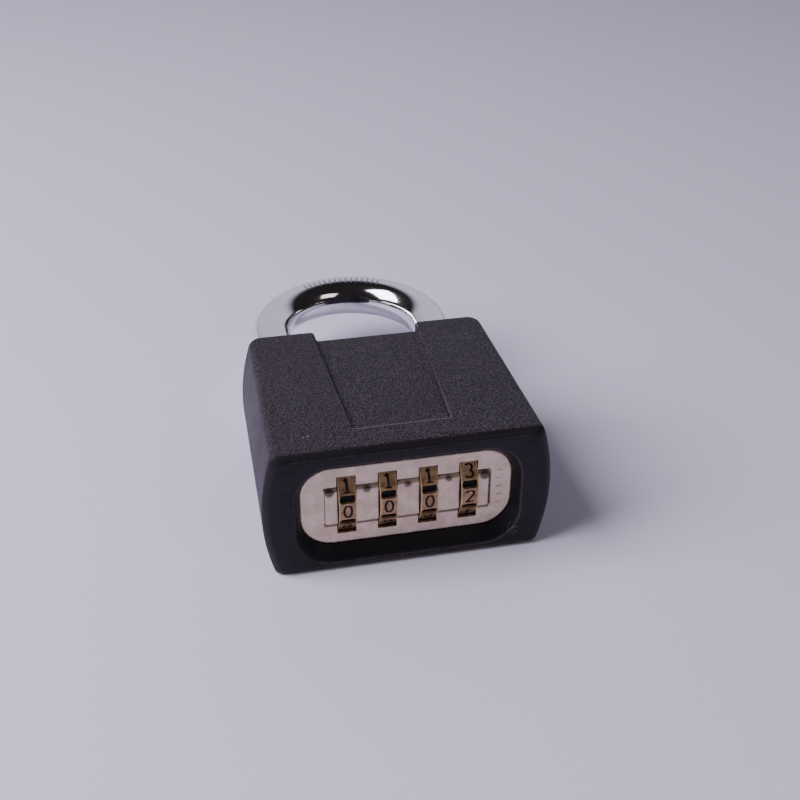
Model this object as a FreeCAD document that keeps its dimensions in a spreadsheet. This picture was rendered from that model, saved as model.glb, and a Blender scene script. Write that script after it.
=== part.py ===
import FreeCAD
import Part
import Sketcher
import math
import os

# Four-dial combination padlock lying on its back.
# X runs across the body, +Y points to the shackle, +Z is the front face's normal.
# The origin is the middle of the closed padlock's footprint, on the back face.

DIMENSIONS = {
    # die-cast body
    "body_length": 40.0,
    "body_depth": 24.6,
    "dial_end_half_width": 23.0,
    "shackle_end_half_width": 21.9,
    "side_bulge": 2.0,
    "facing_allowance": 0.1,
    "end_chamfer": 1.1,
    "long_edge_round": 0.9,
    "shoulder_round": 2.0,
    "shoulder_half_gap": 9.67,
    "shoulder_rise": 2.35,
    "panel_end_half_width": 8.34,
    "panel_margin": 6.44,
    "panel_sink": 0.65,
    # recess that the dials look out of
    "mouth_half_width": 19.5,
    "mouth_low": 1.73,
    "mouth_high": 21.6,
    "mouth_round": 6.4,
    "mouth_sink": 2.0,
    # nickel face plate
    "plate_half_width": 18.4,
    "plate_half_height": 7.95,
    "plate_round": 5.7,
    "plate_gauge": 0.7,
    "window_half_width": 1.65,
    "window_half_height": 5.9,
    "bead_half_length": 14.3,
    "bead_half_height": 3.6,
    "bead_rise": 0.6,
    "bead_round": 0.42,
    # dials and their spindle
    "dial_pitch": 7.04,
    "dial_radius": 7.7,
    "dial_width": 3.0,
    "dial_bore_radius": 4.05,
    "spindle_inset": 7.8,
    "spindle_radius": 1.5,
    "spindle_half_length": 15.5,
    "groove_width": 1.35,
    "groove_length": 2.3,
    "groove_sink": 0.8,
    "reading_tilt": -1.5,
    "spline_width": 1.0,
    "spline_sink": 0.7,
    "key_gap": 0.06,
    "hub_radius": 4.0,
    "flange_radius": 4.9,
    "flange_width": 1.2,
    "gate_width": 1.8,
    "gate_sink": 1.9,
    "running_gap": 0.05,
    "spindle_fit": 0.02,
    "close_fit": 0.01,
    "no_gap": 0.0,
    "side_gap": 0.1,
    # dial carrier
    "chamber_half_width": 15.6,
    "chamber_half_height": 7.85,
    "chamber_reach": 16.4,
    "ear_gauge": 0.7,
    "ear_inner": 14.3,
    "carrier_reach": 14.2,
    "rail_depth": 1.3,
    "rail_inner_height": 6.75,
    "front_rail_inner_height": 7.15,
    # locking bar and bolts
    "bar_depth": 4.0,
    "bar_low": 15.7,
    "bar_gauge": 1.6,
    "bar_left": 13.6,
    "bar_right": 9.2,
    "bar_travel": 1.8,
    "finger_width": 1.0,
    "finger_depth": 1.4,
    "finger_length": 2.8,
    "stem_half_width": 2.5,
    "wedge_half_width": 5.0,
    "wedge_step": 26.2,
    "wedge_tip_half_width": 1.0,
    "bolt_inset": 29.4,
    "bolt_radius": 2.0,
    "bolt_outer": 12.2,
    "bolt_inner": 3.05,
    "bolt_nose_round": 0.7,
    "slide_gap": 0.15,
    # shackle
    "shackle_radius": 4.0,
    "shackle_half_pitch": 16.4,
    "shackle_shift": 1.0,
    "crown_centre": 19.6,
    "toe_sink": 14.0,
    "heel_sink": 21.0,
    "shackle_travel": 14.5,
    "leg_gap": 0.1,
    "leg_chamfer": 0.6,
    "notch_half_width": 2.15,
    "notch_sink": 2.0,
    "neck_radius": 2.8,
    "neck_length": 2.4,
    "heel_land": 1.4,
    "flat_length": 17.0,
    "toe_bore_floor": 0.5,
    "heel_bore_floor": 1.0,
    "spring_hole_radius": 2.0,
    "spring_hole_sink": 7.0,
    # pins and springs
    "stop_pin_radius": 1.0,
    "stop_pin_inner": 13.2,
    "stop_pin_outer": 23.6,
    "end_pin_radius": 2.0,
    "end_pin_length": 16.0,
    "end_pin_spread": 20.6,
    "end_pin_rise": 20.3,
    "pin_end_gap": 0.2,
    "clip_gauge": 0.4,
    "clip_radius": 2.6,
    "clip_groove_radius": 1.15,
    "clip_groove_gap": 0.03,
    "clip_mouth": 2.07,
    "leaf_gauge": 0.25,
    "leaf_strip_height": 1.2,
    "leaf_finger_width": 2.0,
    "leaf_bump_radius": 0.45,
    "leaf_bump_angle": 40.0,
    "shackle_spring_wire": 0.45,
    "shackle_spring_radius": 1.45,
    "shackle_spring_turns": 10,
    "bar_spring_wire": 0.3,
    "bar_spring_radius": 0.95,
    "bar_spring_turns": 3,
    "stack_spring_wire": 0.4,
    "stack_spring_radius": 2.2,
    "stack_spring_turns": 3,
    # how far a cutting outline runs past the solid, and a fused piece into its neighbour
    "overcut": 1.0,
    "root_depth": 0.5,
}

# The dials' places along the spindle, counted in dial pitches from its middle.
DIAL_STEPS = (-1.5, -0.5, 0.5, 1.5)
DIGITS = 10

doc = FreeCAD.newDocument("padlock")
sheet = doc.addObject("Spreadsheet::Sheet", "dims")
for row, (alias, value) in enumerate(DIMENSIONS.items(), start=1):
    sheet.set("A%d" % row, alias)
    sheet.set("B%d" % row, str(value))
    sheet.setAlias("B%d" % row, alias)
doc.recompute()

# Places worked out from the sheet, as formulas in the sheet's own words.
MID = "(dims.body_depth / 2)"
DIAL_END = "(-dims.body_length)"
SPINDLE_Y = "(dims.spindle_inset - dims.body_length)"
FIRST_DIAL_X = "(-1.5 * dims.dial_pitch)"
TOE_X = "(dims.shackle_shift - dims.shackle_half_pitch)"
HEEL_X = "(dims.shackle_shift + dims.shackle_half_pitch)"
BOLT_Y = "(dims.bolt_inset - dims.body_length)"
STOP_PIN_Y = "(-dims.heel_sink + dims.heel_land + dims.shackle_travel + dims.stop_pin_radius + dims.leg_gap)"
STOP_PIN_Z = "(%s - dims.neck_radius - dims.stop_pin_radius - dims.running_gap)" % MID

MOUTH_SIZES = ("mouth_half_width", "mouth_low", "mouth_high", "mouth_round")
SUB_PARTS = []


def keep(item, label):
    """Names a finished sub-part and lists it for export."""
    item.Label = label
    SUB_PARTS.append(item)
    return item


def new_body(label):
    body = doc.addObject("PartDesign::Body", label)
    return keep(body, label)


def bind(item, **formulas):
    """Binds properties to formulas; a double underscore stands for a dot."""
    for name, formula in formulas.items():
        item.setExpression(name.replace("__", "."), formula)
    return item


def add_sketch(body, name, plane, offset="0"):
    """A sketch on one of the body's own origin planes, moved along its normal."""
    sketch = body.newObject("Sketcher::SketchObject", name)
    support = next(item for item in body.Origin.OriginFeatures if item.Role == plane)
    sketch.AttachmentSupport = (support, [""])
    sketch.MapMode = "FlatFace"
    sketch.setExpression("AttachmentOffset.Base.z", offset)
    return sketch


def pin_point(sketch, geometry, end, at_x, at_y):
    """Ties one point of the sketch to a formula for each coordinate."""
    place = sketch.getPoint(geometry, end)
    for kind, formula, present in (("DistanceX", at_x, place.x), ("DistanceY", at_y, place.y)):
        index = sketch.addConstraint(Sketcher.Constraint(kind, -1, 1, geometry, end, present))
        sketch.setExpression("Constraints[%d]" % index, formula)


def outline(sketch, points):
    """Closed straight-sided outline through points given as pairs of formulas."""
    count = len(points)
    first = sketch.GeometryCount
    turn = 2 * math.pi / count
    start = [FreeCAD.Vector(9 * math.cos(turn * i), 9 * math.sin(turn * i), 0) for i in range(count)]
    for i in range(count):
        sketch.addGeometry(Part.LineSegment(start[i], start[(i + 1) % count]), False)
    for i in range(count):
        follower = first + (i + 1) % count
        sketch.addConstraint(Sketcher.Constraint("Coincident", first + i, 2, follower, 1))
    for i, (at_x, at_y) in enumerate(points):
        pin_point(sketch, first + i, 1, at_x, at_y)


def rectangle(sketch, left, right, low, high):
    outline(sketch, [(left, low), (right, low), (right, high), (left, high)])


def circle(sketch, at_x, at_y, radius):
    centre = FreeCAD.Vector(1, 1, 0)
    index = sketch.addGeometry(Part.Circle(centre, FreeCAD.Vector(0, 0, 1), 2.0), False)
    pin_point(sketch, index, 3, at_x, at_y)
    size = sketch.addConstraint(Sketcher.Constraint("Radius", index, 2.0))
    sketch.setExpression("Constraints[%d]" % size, radius)


def rounded_rectangle(sketch, half_width, low, high, corner):
    """Rectangle centred on X with equal corner arcs; each size is a formula and its value."""
    radius = corner[1]
    centre_x = half_width[1] - radius
    corners = [
        (centre_x, low[1] + radius, -90),
        (centre_x, high[1] - radius, 0),
        (-centre_x, high[1] - radius, 90),
        (-centre_x, low[1] + radius, 180),
    ]
    normal = FreeCAD.Vector(0, 0, 1)
    first = sketch.GeometryCount
    for at_x, at_y, start in corners:
        round_arc = Part.Circle(FreeCAD.Vector(at_x, at_y, 0), normal, radius)
        begin = math.radians(start)
        sketch.addGeometry(Part.ArcOfCircle(round_arc, begin, begin + math.pi / 2), False)
    for i in range(4):
        tail = sketch.getPoint(first + i, 2)
        head = sketch.getPoint(first + (i + 1) % 4, 1)
        line = sketch.addGeometry(Part.LineSegment(tail, head), False)
        sketch.addConstraint(Sketcher.Constraint("Tangent", first + i, 2, line, 1))
        sketch.addConstraint(Sketcher.Constraint("Tangent", line, 2, first + (i + 1) % 4, 1))
    for i in range(1, 4):
        sketch.addConstraint(Sketcher.Constraint("Equal", first, first + i))
    size = sketch.addConstraint(Sketcher.Constraint("Radius", first, radius))
    sketch.setExpression("Constraints[%d]" % size, corner[0])
    inner_x = "(%s) - (%s)" % (half_width[0], corner[0])
    inner_low = "(%s) + (%s)" % (low[0], corner[0])
    inner_high = "(%s) - (%s)" % (high[0], corner[0])
    pin_point(sketch, first, 3, inner_x, inner_low)
    pin_point(sketch, first + 2, 3, "-(%s)" % inner_x, inner_high)


def extrude(body, kind, name, sketch, length, reverse=False, both_sides=False):
    """A Pad or Pocket of the sketch, with its length bound to a formula."""
    feature = body.newObject("PartDesign::" + kind, name)
    feature.Profile = sketch
    feature.setExpression("Length", length)
    feature.Reversed = reverse
    if both_sides:
        feature.SideType = "Symmetric"
    sketch.Visibility = False
    return feature


def edges_where(feature, test):
    """Names of the feature's edges whose bounding box passes the test."""
    doc.recompute()
    return ["Edge%d" % (i + 1) for i, edge in enumerate(feature.Shape.Edges) if test(edge.BoundBox)]


def dress(body, kind, name, feature, edges, size):
    """A Fillet or Chamfer of the named edges."""
    result = body.newObject("PartDesign::" + kind, name)
    result.Base = (feature, edges)
    result.setExpression("Radius" if kind == "Fillet" else "Size", size)
    return result


def pattern(body, name, feature, count, length):
    """Copies a feature along X."""
    result = body.newObject("PartDesign::LinearPattern", name)
    result.Originals = [feature]
    along = next(item for item in body.Origin.OriginFeatures if item.Role == "X_Axis")
    result.Direction = (along, [""])
    result.Occurrences = count
    result.setExpression("Length", length)
    body.Tip = result
    return result


def ring_pattern(body, name, feature, count):
    """Copies a feature round the X axis."""
    result = body.newObject("PartDesign::PolarPattern", name)
    result.Originals = [feature]
    around = next(item for item in body.Origin.OriginFeatures if item.Role == "X_Axis")
    result.Axis = (around, [""])
    result.Angle = 360
    result.Occurrences = count
    body.Tip = result
    return result


def value_of(alias):
    return DIMENSIONS[alias]


def sized(alias):
    """A sheet cell as a formula with its value, which starts a sketch at its solution."""
    return ("dims." + alias, value_of(alias))


def plate_sizes(gap):
    """Half width, low edge, high edge and corner radius of the face plate, widened by a gap."""
    margin = value_of(gap)
    reach = value_of("plate_half_height") + margin
    middle = value_of("body_depth") / 2
    grown = "dims.plate_half_height + dims.%s" % gap
    return (
        ("dims.plate_half_width + dims.%s" % gap, value_of("plate_half_width") + margin),
        ("%s - (%s)" % (MID, grown), middle - reach),
        ("%s + (%s)" % (MID, grown), middle + reach),
        ("dims.plate_round + dims.%s" % gap, value_of("plate_round") + margin),
    )


def body_section(body, name, offset, half_width):
    """Cross-section with sides that bow outwards, thicker by the facing allowance all round."""
    sketch = add_sketch(body, name, "XZ_Plane", offset)
    width = value_of(half_width)
    low = -value_of("facing_allowance")
    high = value_of("body_depth") + value_of("facing_allowance")
    middle = value_of("body_depth") / 2
    bulge = value_of("side_bulge")
    corners = [(-width, low), (width, low), (width, high), (-width, high)]
    start = [FreeCAD.Vector(x, y, 0) for x, y in corners]
    right = FreeCAD.Vector(width + bulge, middle, 0)
    left = FreeCAD.Vector(-width - bulge, middle, 0)
    sketch.addGeometry(Part.LineSegment(start[0], start[1]), False)
    sketch.addGeometry(Part.Arc(start[1], right, start[2]), False)
    sketch.addGeometry(Part.LineSegment(start[2], start[3]), False)
    sketch.addGeometry(Part.Arc(start[3], left, start[0]), False)
    for line, end, arc, arc_end in ((0, 2, 1, 1), (2, 1, 1, 2), (2, 2, 3, 1), (0, 1, 3, 2)):
        sketch.addConstraint(Sketcher.Constraint("Coincident", line, end, arc, arc_end))
    bottom = "-dims.facing_allowance"
    top = "dims.body_depth + dims.facing_allowance"
    places = ((0, 1, "-dims.%s", bottom), (0, 2, "dims.%s", bottom),
              (2, 1, "dims.%s", top), (2, 2, "-dims.%s", top))
    for line, end, at_x, at_y in places:
        pin_point(sketch, line, end, at_x % half_width, at_y)
    half_depth = "(dims.body_depth / 2 + dims.facing_allowance)"
    bow = "(%s ^ 2 + dims.side_bulge ^ 2) / (2 * dims.side_bulge)" % half_depth
    for arc in (1, 3):
        index = sketch.addConstraint(Sketcher.Constraint("Radius", arc, sketch.Geometry[arc].Radius))
        sketch.setExpression("Constraints[%d]" % index, bow)
    return sketch


def make_body_shell():
    """Die-cast body: tapered block with bowed sides, two shoulders and its cored hollows."""
    body = new_body("body_shell")
    wide = body_section(body, "dial_end_section", "dims.body_length", "dial_end_half_width")
    narrow = body_section(body, "shackle_end_section", "0", "shackle_end_half_width")
    block = body.newObject("PartDesign::AdditiveLoft", "block")
    block.Profile = wide
    block.Sections = [narrow]
    block.Ruled = True

    for face, level in (("back", "0"), ("front", "dims.body_depth + dims.facing_allowance + dims.overcut")):
        skim = add_sketch(body, face + "_facing_outline", "XY_Plane", level)
        reach = "dims.dial_end_half_width + dims.side_bulge + dims.overcut"
        rectangle(skim, "-(%s)" % reach, reach, "-dims.body_length - dims.overcut", "dims.overcut")
        extrude(body, "Pocket", face + "_facing", skim, "dims.facing_allowance + dims.overcut")

    gap = add_sketch(body, "shoulder_gap_outline", "XY_Plane", "dims.body_depth + dims.overcut")
    rectangle(gap, "-dims.shoulder_half_gap", "dims.shoulder_half_gap", "-dims.shoulder_rise", "dims.overcut")
    step = extrude(body, "Pocket", "shoulder_gap", gap, "dims.body_depth + 2 * dims.overcut")

    def on_dial_end(box):
        return box.YMax < -value_of("body_length") + 0.01

    step_edges = edges_where(step, on_dial_end)
    bevel = dress(body, "Chamfer", "dial_end_bevel", step, step_edges, "dims.end_chamfer")

    def outer_shoulder(box):
        return box.ZLength > 20 and box.YMin > -0.01 and box.XMax - box.XMin > 0.5

    corner_edges = edges_where(bevel, outer_shoulder)
    rounded = dress(body, "Fillet", "shoulder_corners", bevel, corner_edges, "dims.shoulder_round")

    def long_edge(box):
        flat = box.ZLength < 0.01 and (box.ZMin < 0.01 or box.ZMax > value_of("body_depth") - 0.01)
        return flat and box.YLength > 20 and box.XMin * box.XMax > 0

    side_edges = edges_where(rounded, long_edge)
    softened = dress(body, "Fillet", "long_edges", rounded, side_edges, "dims.long_edge_round")

    panel = add_sketch(body, "panel_outline", "XY_Plane", "dims.body_depth")
    outline(panel, [
        ("-dims.panel_end_half_width", "dims.panel_margin - dims.body_length"),
        ("dims.panel_end_half_width", "dims.panel_margin - dims.body_length"),
        ("dims.shoulder_half_gap", "-dims.shoulder_rise"),
        ("dims.shoulder_half_gap", "dims.overcut"),
        ("-dims.shoulder_half_gap", "dims.overcut"),
        ("-dims.shoulder_half_gap", "-dims.shoulder_rise"),
    ])
    extrude(body, "Pocket", "panel", panel, "dims.panel_sink")

    seat_sizes = plate_sizes("running_gap")
    mouth = add_sketch(body, "mouth_outline", "XZ_Plane", "dims.body_length")
    rounded_rectangle(mouth, *[sized(alias) for alias in MOUTH_SIZES])
    throat = add_sketch(body, "throat_outline", "XZ_Plane", "dims.body_length - dims.mouth_sink")
    rounded_rectangle(throat, *seat_sizes)
    funnel = body.newObject("PartDesign::SubtractiveLoft", "mouth")
    funnel.Profile = mouth
    funnel.Sections = [throat]
    funnel.Ruled = True

    seat = add_sketch(body, "seat_outline", "XZ_Plane", "dims.body_length - dims.mouth_sink")
    rounded_rectangle(seat, *seat_sizes)
    extrude(body, "Pocket", "plate_seat", seat, "dims.plate_gauge + dims.running_gap")

    chamber = add_sketch(body, "chamber_outline", "XZ_Plane", "dims.body_length - dims.mouth_sink")
    rectangle(chamber, "-dims.chamber_half_width", "dims.chamber_half_width",
              "%s - dims.chamber_half_height" % MID, "%s + dims.chamber_half_height" % MID)
    extrude(body, "Pocket", "dial_chamber", chamber, "dims.chamber_reach - dims.mouth_sink")

    way_start = "dims.body_length - dims.chamber_reach + dims.overcut"
    bar_way = add_sketch(body, "bar_way_outline", "XZ_Plane", way_start)
    rectangle(bar_way, "-dims.bar_left - dims.slide_gap", "dims.bar_right + dims.slide_gap",
              "%s - dims.bar_depth / 2 - dims.slide_gap" % MID,
              "%s + dims.bar_depth / 2 + dims.slide_gap" % MID)
    extrude(body, "Pocket", "bar_way", bar_way,
            "dims.bar_low + dims.bar_gauge + dims.bar_travel + 2 * dims.slide_gap"
            " - dims.chamber_reach + dims.overcut")

    wedge_way = add_sketch(body, "wedge_way_outline", "XZ_Plane", way_start)
    rectangle(wedge_way, "dims.shackle_shift - dims.wedge_half_width - dims.slide_gap",
              "dims.shackle_shift + dims.wedge_half_width + dims.slide_gap",
              "%s - dims.bar_depth / 2 - dims.slide_gap" % MID,
              "%s + dims.bar_depth / 2 + dims.slide_gap" % MID)
    extrude(body, "Pocket", "wedge_way", wedge_way,
            "dims.bolt_inset + dims.wedge_half_width - dims.chamber_reach + dims.overcut")

    for side, at_x, sink in (("toe", TOE_X, "dims.toe_sink + dims.toe_bore_floor"),
                             ("heel", HEEL_X, "dims.heel_sink + dims.heel_bore_floor")):
        bore = add_sketch(body, side + "_bore_outline", "XZ_Plane", "-dims.overcut")
        circle(bore, at_x, MID, "dims.shackle_radius + dims.leg_gap")
        extrude(body, "Pocket", side + "_bore", bore, sink + " + dims.overcut", reverse=True)

    bolt_way = add_sketch(body, "bolt_way_outline", "YZ_Plane", HEEL_X)
    circle(bolt_way, BOLT_Y, MID, "dims.bolt_radius + dims.running_gap")
    extrude(body, "Pocket", "bolt_way", bolt_way, "2 * dims.shackle_half_pitch")

    outside = "dims.dial_end_half_width + dims.side_bulge + dims.overcut"
    stop_bore = add_sketch(body, "stop_pin_bore_outline", "YZ_Plane", outside)
    circle(stop_bore, STOP_PIN_Y, STOP_PIN_Z, "dims.stop_pin_radius + dims.close_fit")
    extrude(body, "Pocket", "stop_pin_bore", stop_bore,
            "%s - dims.stop_pin_inner + dims.pin_end_gap" % outside)

    end_bores = add_sketch(body, "end_pin_bore_outline", "XZ_Plane", "dims.body_length")
    for sign in ("-", ""):
        circle(end_bores, sign + "dims.end_pin_spread", "dims.end_pin_rise",
               "dims.end_pin_radius + dims.close_fit")
    body.Tip = extrude(body, "Pocket", "end_pin_bores", end_bores, "dims.end_pin_length + dims.pin_end_gap")
    return body


def make_dial_plate():
    """Nickel-plated face plate with a raised bead across it and four dial windows."""
    body = new_body("dial_plate")
    blank = add_sketch(body, "plate_outline", "XZ_Plane", "dims.body_length - dims.mouth_sink")
    rounded_rectangle(blank, *plate_sizes("no_gap"))
    extrude(body, "Pad", "plate_blank", blank, "dims.plate_gauge", reverse=True)
    bead = add_sketch(body, "bead_outline", "XZ_Plane", "dims.body_length - dims.mouth_sink")
    rectangle(bead, "-dims.bead_half_length", "dims.bead_half_length",
              "%s - dims.bead_half_height" % MID, "%s + dims.bead_half_height" % MID)
    raised = extrude(body, "Pad", "bead", bead, "dims.bead_rise")

    def bead_rim(box):
        front = -value_of("body_length") + value_of("mouth_sink") - value_of("bead_rise")
        return box.YMax < front + 0.01

    rim = edges_where(raised, bead_rim)
    dress(body, "Fillet", "bead_rounding", raised, rim, "dims.bead_round")
    window = add_sketch(body, "window_outline", "XZ_Plane", "dims.body_length")
    rectangle(window, FIRST_DIAL_X + " - dims.window_half_width",
              FIRST_DIAL_X + " + dims.window_half_width",
              "%s - dims.window_half_height" % MID, "%s + dims.window_half_height" % MID)
    cut = extrude(body, "Pocket", "window", window, "dims.mouth_sink + dims.plate_gauge + dims.overcut")
    pattern(body, "windows", cut, len(DIAL_STEPS), "3 * dims.dial_pitch")
    return body


def dial_place(item, step):
    """Puts a piece that is modelled round the X axis on the spindle."""
    return bind(item, Placement__Base__x="(%s) * dims.dial_pitch" % step,
                Placement__Base__y=SPINDLE_Y, Placement__Base__z=MID)


def make_dial(number, step):
    """Brass number ring: ten sunk grooves between the digits, ten splines in the bore."""
    body = new_body("dial_%d" % number)
    ring = add_sketch(body, "ring_outline_%d" % number, "YZ_Plane")
    circle(ring, "0", "0", "dims.dial_radius")
    circle(ring, "0", "0", "dims.dial_bore_radius")
    extrude(body, "Pad", "ring_%d" % number, ring, "dims.dial_width", both_sides=True)
    groove = add_sketch(body, "groove_outline_%d" % number, "YZ_Plane")
    tilt = math.radians(180 / DIGITS - value_of("reading_tilt"))
    along = "%.6f" % math.cos(tilt)
    across = "%.6f" % math.sin(tilt)
    floor = "(dims.dial_radius - dims.groove_sink)"
    outside = "(dims.dial_radius + dims.overcut)"
    points = []
    for radius, sign in ((floor, "-"), (outside, "-"), (outside, ""), (floor, "")):
        half = "(%sdims.groove_width / 2)" % sign
        points.append(("-(%s * %s) + %s * %s" % (radius, along, half, across),
                       "-(%s * %s) - %s * %s" % (radius, across, half, along)))
    outline(groove, points)
    cut = extrude(body, "Pocket", "groove_%d" % number, groove, "dims.groove_length", both_sides=True)
    ring_pattern(body, "grooves_%d" % number, cut, DIGITS)
    spline = add_sketch(body, "spline_outline_%d" % number, "YZ_Plane")
    rectangle(spline, "0", "dims.dial_bore_radius + dims.spline_sink",
              "-dims.spline_width / 2", "dims.spline_width / 2")
    notch = extrude(body, "Pocket", "spline_%d" % number, spline,
                    "dims.dial_width + dims.overcut", both_sides=True)
    ring_pattern(body, "splines_%d" % number, notch, DIGITS)
    return dial_place(body, step)


def make_tumbler(number, step):
    """Sleeve that turns with its dial: a keyed hub and a flange with one gate."""
    body = new_body("tumbler_%d" % number)
    flange = add_sketch(body, "flange_outline_%d" % number, "YZ_Plane",
                        "-dims.dial_width / 2 - dims.side_gap - dims.flange_width")
    circle(flange, "0", "0", "dims.flange_radius")
    circle(flange, "0", "0", "dims.spindle_radius + dims.running_gap")
    extrude(body, "Pad", "flange_%d" % number, flange, "dims.flange_width")
    gate = add_sketch(body, "gate_outline_%d" % number, "YZ_Plane")
    rectangle(gate, "dims.flange_radius - dims.gate_sink", "dims.flange_radius + dims.overcut",
              "-dims.gate_width / 2", "dims.gate_width / 2")
    extrude(body, "Pocket", "gate_%d" % number, gate, "4 * dims.dial_width", both_sides=True)
    hub = add_sketch(body, "hub_outline_%d" % number, "YZ_Plane", "-dims.dial_width / 2 - dims.side_gap")
    circle(hub, "0", "0", "dims.hub_radius")
    circle(hub, "0", "0", "dims.spindle_radius + dims.running_gap")
    extrude(body, "Pad", "hub_%d" % number, hub, "dims.dial_width")
    key = add_sketch(body, "key_outline_%d" % number, "YZ_Plane", "-dims.dial_width / 2 - dims.side_gap")
    rectangle(key, "dims.hub_radius - dims.root_depth",
              "dims.dial_bore_radius + dims.spline_sink - dims.side_gap",
              "-dims.spline_width / 2 + dims.key_gap", "dims.spline_width / 2 - dims.key_gap")
    body.Tip = extrude(body, "Pad", "key_%d" % number, key, "dims.dial_width")
    return dial_place(body, step)


def make_spindle():
    """Steel rod that the dials turn on, grooved near each end for a clip."""
    body = new_body("dial_spindle")
    rod = add_sketch(body, "rod_outline", "YZ_Plane")
    circle(rod, "0", "0", "dims.spindle_radius")
    extrude(body, "Pad", "rod", rod, "2 * dims.spindle_half_length", both_sides=True)
    for side, sign in (("left", "-"), ("right", "")):
        middle = "%s(dims.ear_inner + dims.ear_gauge + dims.clip_gauge / 2 + dims.running_gap)" % sign
        ring = add_sketch(body, side + "_clip_groove_outline", "YZ_Plane", middle)
        circle(ring, "0", "0", "dims.spindle_radius + dims.overcut")
        circle(ring, "0", "0", "dims.clip_groove_radius")
        body.Tip = extrude(body, "Pocket", side + "_clip_groove", ring,
                           "dims.clip_gauge + 2 * dims.clip_groove_gap", both_sides=True)
    return bind(body, Placement__Base__y=SPINDLE_Y, Placement__Base__z=MID)


def make_spindle_clips():
    """Two open retaining rings that snap into the spindle's grooves."""
    rings = []
    for side, sign in (("left", "-"), ("right", "")):
        disc = doc.addObject("Part::Cylinder", side + "_clip_disc")
        eye = doc.addObject("Part::Cylinder", side + "_clip_eye")
        mouth = doc.addObject("Part::Box", side + "_clip_mouth")
        bind(disc, Radius="dims.clip_radius", Height="dims.clip_gauge")
        bind(eye, Radius="dims.clip_groove_radius + dims.spindle_fit", Height="dims.clip_gauge")
        bind(mouth, Length="dims.clip_radius + dims.overcut", Width="dims.clip_mouth",
             Height="dims.clip_gauge")
        bind(mouth, Placement__Base__y="-dims.clip_mouth / 2")
        hole = doc.addObject("Part::MultiFuse", side + "_clip_hole")
        hole.Shapes = [eye, mouth]
        ring = doc.addObject("Part::Cut", side + "_clip_ring")
        ring.Base = disc
        ring.Tool = hole
        ring.Placement.Rotation = FreeCAD.Rotation(FreeCAD.Vector(0, 1, 0), 90)
        bind(ring, Placement__Base__x="%s(dims.ear_inner + dims.ear_gauge + dims.clip_gauge / 2"
             " + dims.running_gap) - dims.clip_gauge / 2" % sign)
        rings.append(ring)
    pair = doc.addObject("Part::Compound", "spindle_clip_pair")
    pair.Links = rings
    keep(pair, "spindle_clips")
    return bind(pair, Placement__Base__y=SPINDLE_Y, Placement__Base__z=MID)


def make_dial_carrier():
    """Cassette that holds the spindle: two ears and three partitions joined by four rails."""
    body = new_body("dial_carrier")
    front = "dims.mouth_sink + dims.plate_gauge + 2 * dims.running_gap"
    height = "(dims.chamber_half_height - dims.side_gap)"
    y_low = "%s - dims.body_length" % front
    y_high = "dims.carrier_reach - dims.body_length"

    def wall(name, start, thickness):
        sketch = add_sketch(body, name + "_outline", "YZ_Plane", start)
        rectangle(sketch, y_low, y_high, "%s - %s" % (MID, height), "%s + %s" % (MID, height))
        circle(sketch, SPINDLE_Y, MID, "dims.spindle_radius + dims.spindle_fit")
        return extrude(body, "Pad", name, sketch, thickness)

    rails = add_sketch(body, "rail_outline", "YZ_Plane")
    for near, far, edge in (
        (y_low, "%s + dims.rail_depth" % y_low, "dims.front_rail_inner_height"),
        ("%s - dims.rail_depth" % y_high, y_high, "dims.rail_inner_height"),
    ):
        rectangle(rails, near, far, "%s - %s" % (MID, height), "%s - %s" % (MID, edge))
        rectangle(rails, near, far, "%s + %s" % (MID, edge), "%s + %s" % (MID, height))
    left = wall("left_ear", "-dims.ear_inner - dims.ear_gauge", "dims.ear_gauge")
    body.Tip = left
    extrude(body, "Pad", "rails", rails, "2 * dims.ear_inner + dims.ear_gauge", both_sides=True)
    wall("right_ear", "dims.ear_inner", "dims.ear_gauge")
    first_gap = FIRST_DIAL_X + " + dims.dial_width / 2 + dims.side_gap"
    partition = wall("partition", first_gap,
                     "dims.dial_pitch - dims.dial_width - dims.flange_width - 3 * dims.side_gap")
    pattern(body, "partitions", partition, len(DIAL_STEPS) - 1, "2 * dims.dial_pitch")
    return body


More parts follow.
